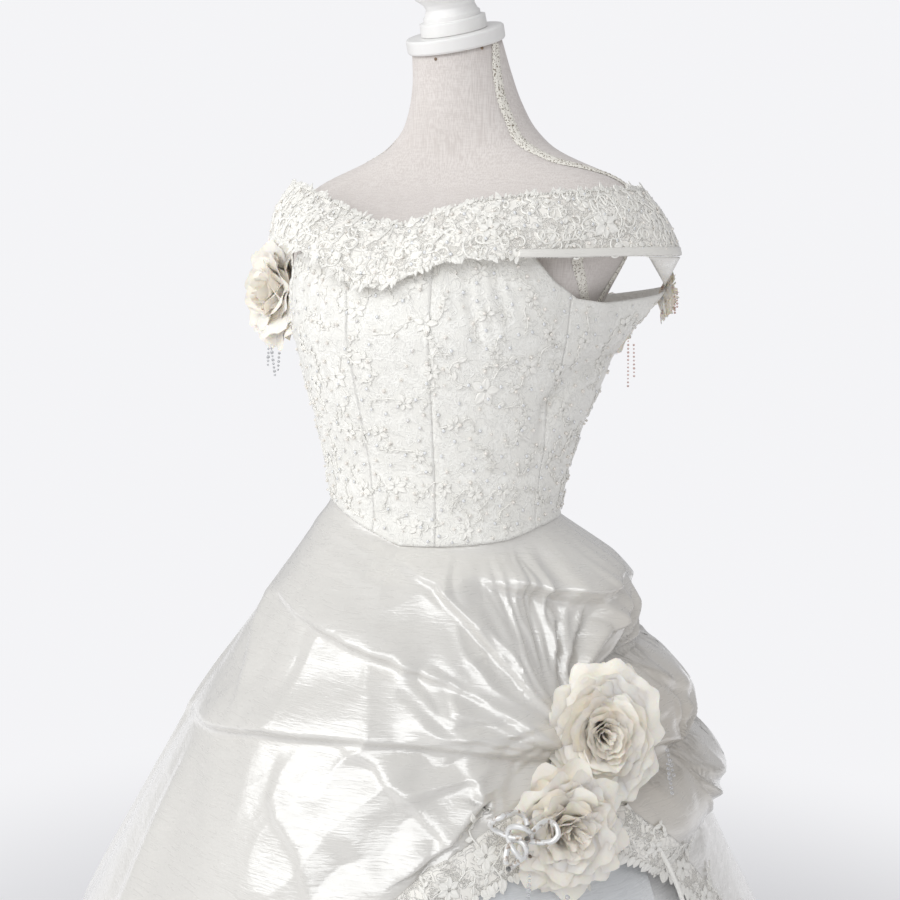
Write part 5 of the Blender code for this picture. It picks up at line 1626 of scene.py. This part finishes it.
def make_hanging_trims():
    """Strings of beads at the roses, silver tube loops, the rolled cord that hangs at the hip, and pins."""
    chance = np.random.RandomState(59)
    clear = np.vstack([strand(top, low, CLEAR_PITCH) for top, low in CLEAR_STRINGS])
    beads("clear_strings", clear, chance.uniform(*CLEAR_RADII, len(clear)), crystal)
    pink = []
    for number in range(FRINGE_STRINGS):
        top = np.array((0.1990 + 0.0028 * number, 0.1070 + 0.0015 * number, 1.272 - 0.002 * (number % 3)))
        drift = [chance.uniform(-0.002, 0.003), chance.uniform(-0.002, 0.002), -chance.uniform(0.016, 0.030)]
        pink.append(strand(top, top + np.array(drift), FRINGE_PITCH))
    pink = np.vstack(pink + [strand(top, low, BLUSH_PITCH) for top, low in BLUSH_STRINGS])
    beads("blush_strings", pink, chance.uniform(*BLUSH_RADII, len(pink)), blush)
    loops = []
    go = np.linspace(0.0, 2.0 * math.pi * LOOP_SHARE, 30)
    for turn, middle, size in SILVER_LOOPS:
        ring = np.stack([size * np.cos(go), 0.35 * size * np.sin(go * 2.0), size * 0.62 * np.sin(go)], -1)
        ring = ring @ np.array(Matrix.Rotation(turn, 3, "Y")).T @ np.array(Matrix.Rotation(0.7, 3, "Z")).T
        loops.append(tube(ring + np.array(middle), LOOP_TUBE))
    add("silver_loops", joined_grids("silver_loops", loops), silver)
    cord = tube(spline(ROLLED_CORD, 12), CORD_RADIUS)
    add("rolled_cord", joined_grids("rolled_cord", [cord]), cord_finish)
    beads("dark_pins", DARK_PINS, PIN_RADIUS, dark)


def make_closure():
    """Placket and covered buttons keep their solids, in plain satin."""
    for name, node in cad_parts.items():
        if name.startswith(("back_button", "back_placket")):
            node.data.materials.clear()
            node.data.materials.append(binding)


def place_camera():
    """The photograph's camera."""
    around = math.radians(CAMERA_AROUND)
    tilt = math.radians(CAMERA_TILT)
    place = Vector((CAMERA_AWAY * math.sin(around), -CAMERA_AWAY * math.cos(around), CAMERA_HIGH))
    heading = around + math.radians(CAMERA_TURN)
    turn = Matrix.Rotation(heading, 4, "Z") @ Matrix.Rotation(math.radians(90.0) - tilt, 4, "X")
    turn = turn @ Matrix.Rotation(math.radians(CAMERA_ROLL), 4, "Z")
    lens = bpy.data.cameras.new("photograph")
    lens.sensor_width = SENSOR
    lens.lens = SENSOR * FOCAL_PIXELS / FRAME_PIXELS
    camera = bpy.data.objects.new("photograph", lens)
    camera.matrix_world = Matrix.Translation(place) @ turn
    bpy.context.scene.collection.objects.link(camera)
    bpy.context.scene.camera = camera


def light_room():
    """A pale room: an even surround, a window at the viewer's left, a softbox, and a floor that fades out."""
    world = bpy.data.worlds.new("room")
    bpy.context.scene.world = world
    world.use_nodes = True
    tree = world.node_tree
    background = tree.nodes["Background"]
    background.inputs["Color"].default_value = (*ROOM, 1.0)
    sight = tree.nodes.new("ShaderNodeLightPath")
    strength = tree.nodes.new("ShaderNodeMapRange")
    strength.inputs["To Min"].default_value = SURROUND
    strength.inputs["To Max"].default_value = 1.0
    tree.links.new(sight.outputs["Is Camera Ray"], strength.inputs["Value"])
    tree.links.new(strength.outputs[0], background.inputs["Strength"])
    for name, place, size, energy, colour in LAMPS:
        lamp = bpy.data.lights.new(name, "AREA")
        lamp.shape = "RECTANGLE"
        lamp.size, lamp.size_y = size
        lamp.energy = energy
        lamp.color = colour
        holder = bpy.data.objects.new(name, lamp)
        holder.location = place
        holder.rotation_euler = (Vector(LAMPS_AIM) - Vector(place)).to_track_quat("-Z", "Y").to_euler()
        holder.visible_camera = False
        holder.visible_glossy = name == "softbox"
        bpy.context.scene.collection.objects.link(holder)
    ring = np.linspace(0.0, 2.0 * math.pi, 97)
    radii = np.concatenate([[0.0], np.linspace(0.4, 7.0, 24)])
    points = np.stack([np.outer(radii, np.sin(ring)), -np.outer(radii, np.cos(ring)), np.zeros((25, 97))], -1)
    mesh = grid_mesh("floor", points)
    floor = bpy.data.objects.new("floor", mesh)
    bpy.context.scene.collection.objects.link(floor)
    finish = Finish("Pale floor", (0.90, 0.90, 0.92), 0.9)
    spread = finish.node("VectorMath", {0: finish.place()}, operation="LENGTH").outputs["Value"]
    glow = finish.node("Emission", {"Color": (*ROOM, 1.0), "Strength": 1.0})
    mixed = finish.node("MixShader", {0: finish.step(spread, *FLOOR_FADES)})
    finish.tree.links.new(finish.shader.outputs[0], mixed.inputs[1])
    finish.tree.links.new(glow.outputs[0], mixed.inputs[2])
    output = finish.tree.nodes["Material Output"]
    finish.tree.links.new(mixed.outputs[0], output.inputs["Surface"])
    mesh.materials.append(finish.material)
    bpy.context.scene.view_settings.view_transform = "Standard"


make_form()
make_stand()
make_bodice()
make_collar()
make_skirt()
make_roses()
make_flounce()
make_braid_lines()
make_lace_flowers()
make_edging_flowers()
make_hanging_trims()
make_closure()
place_camera()
light_room()
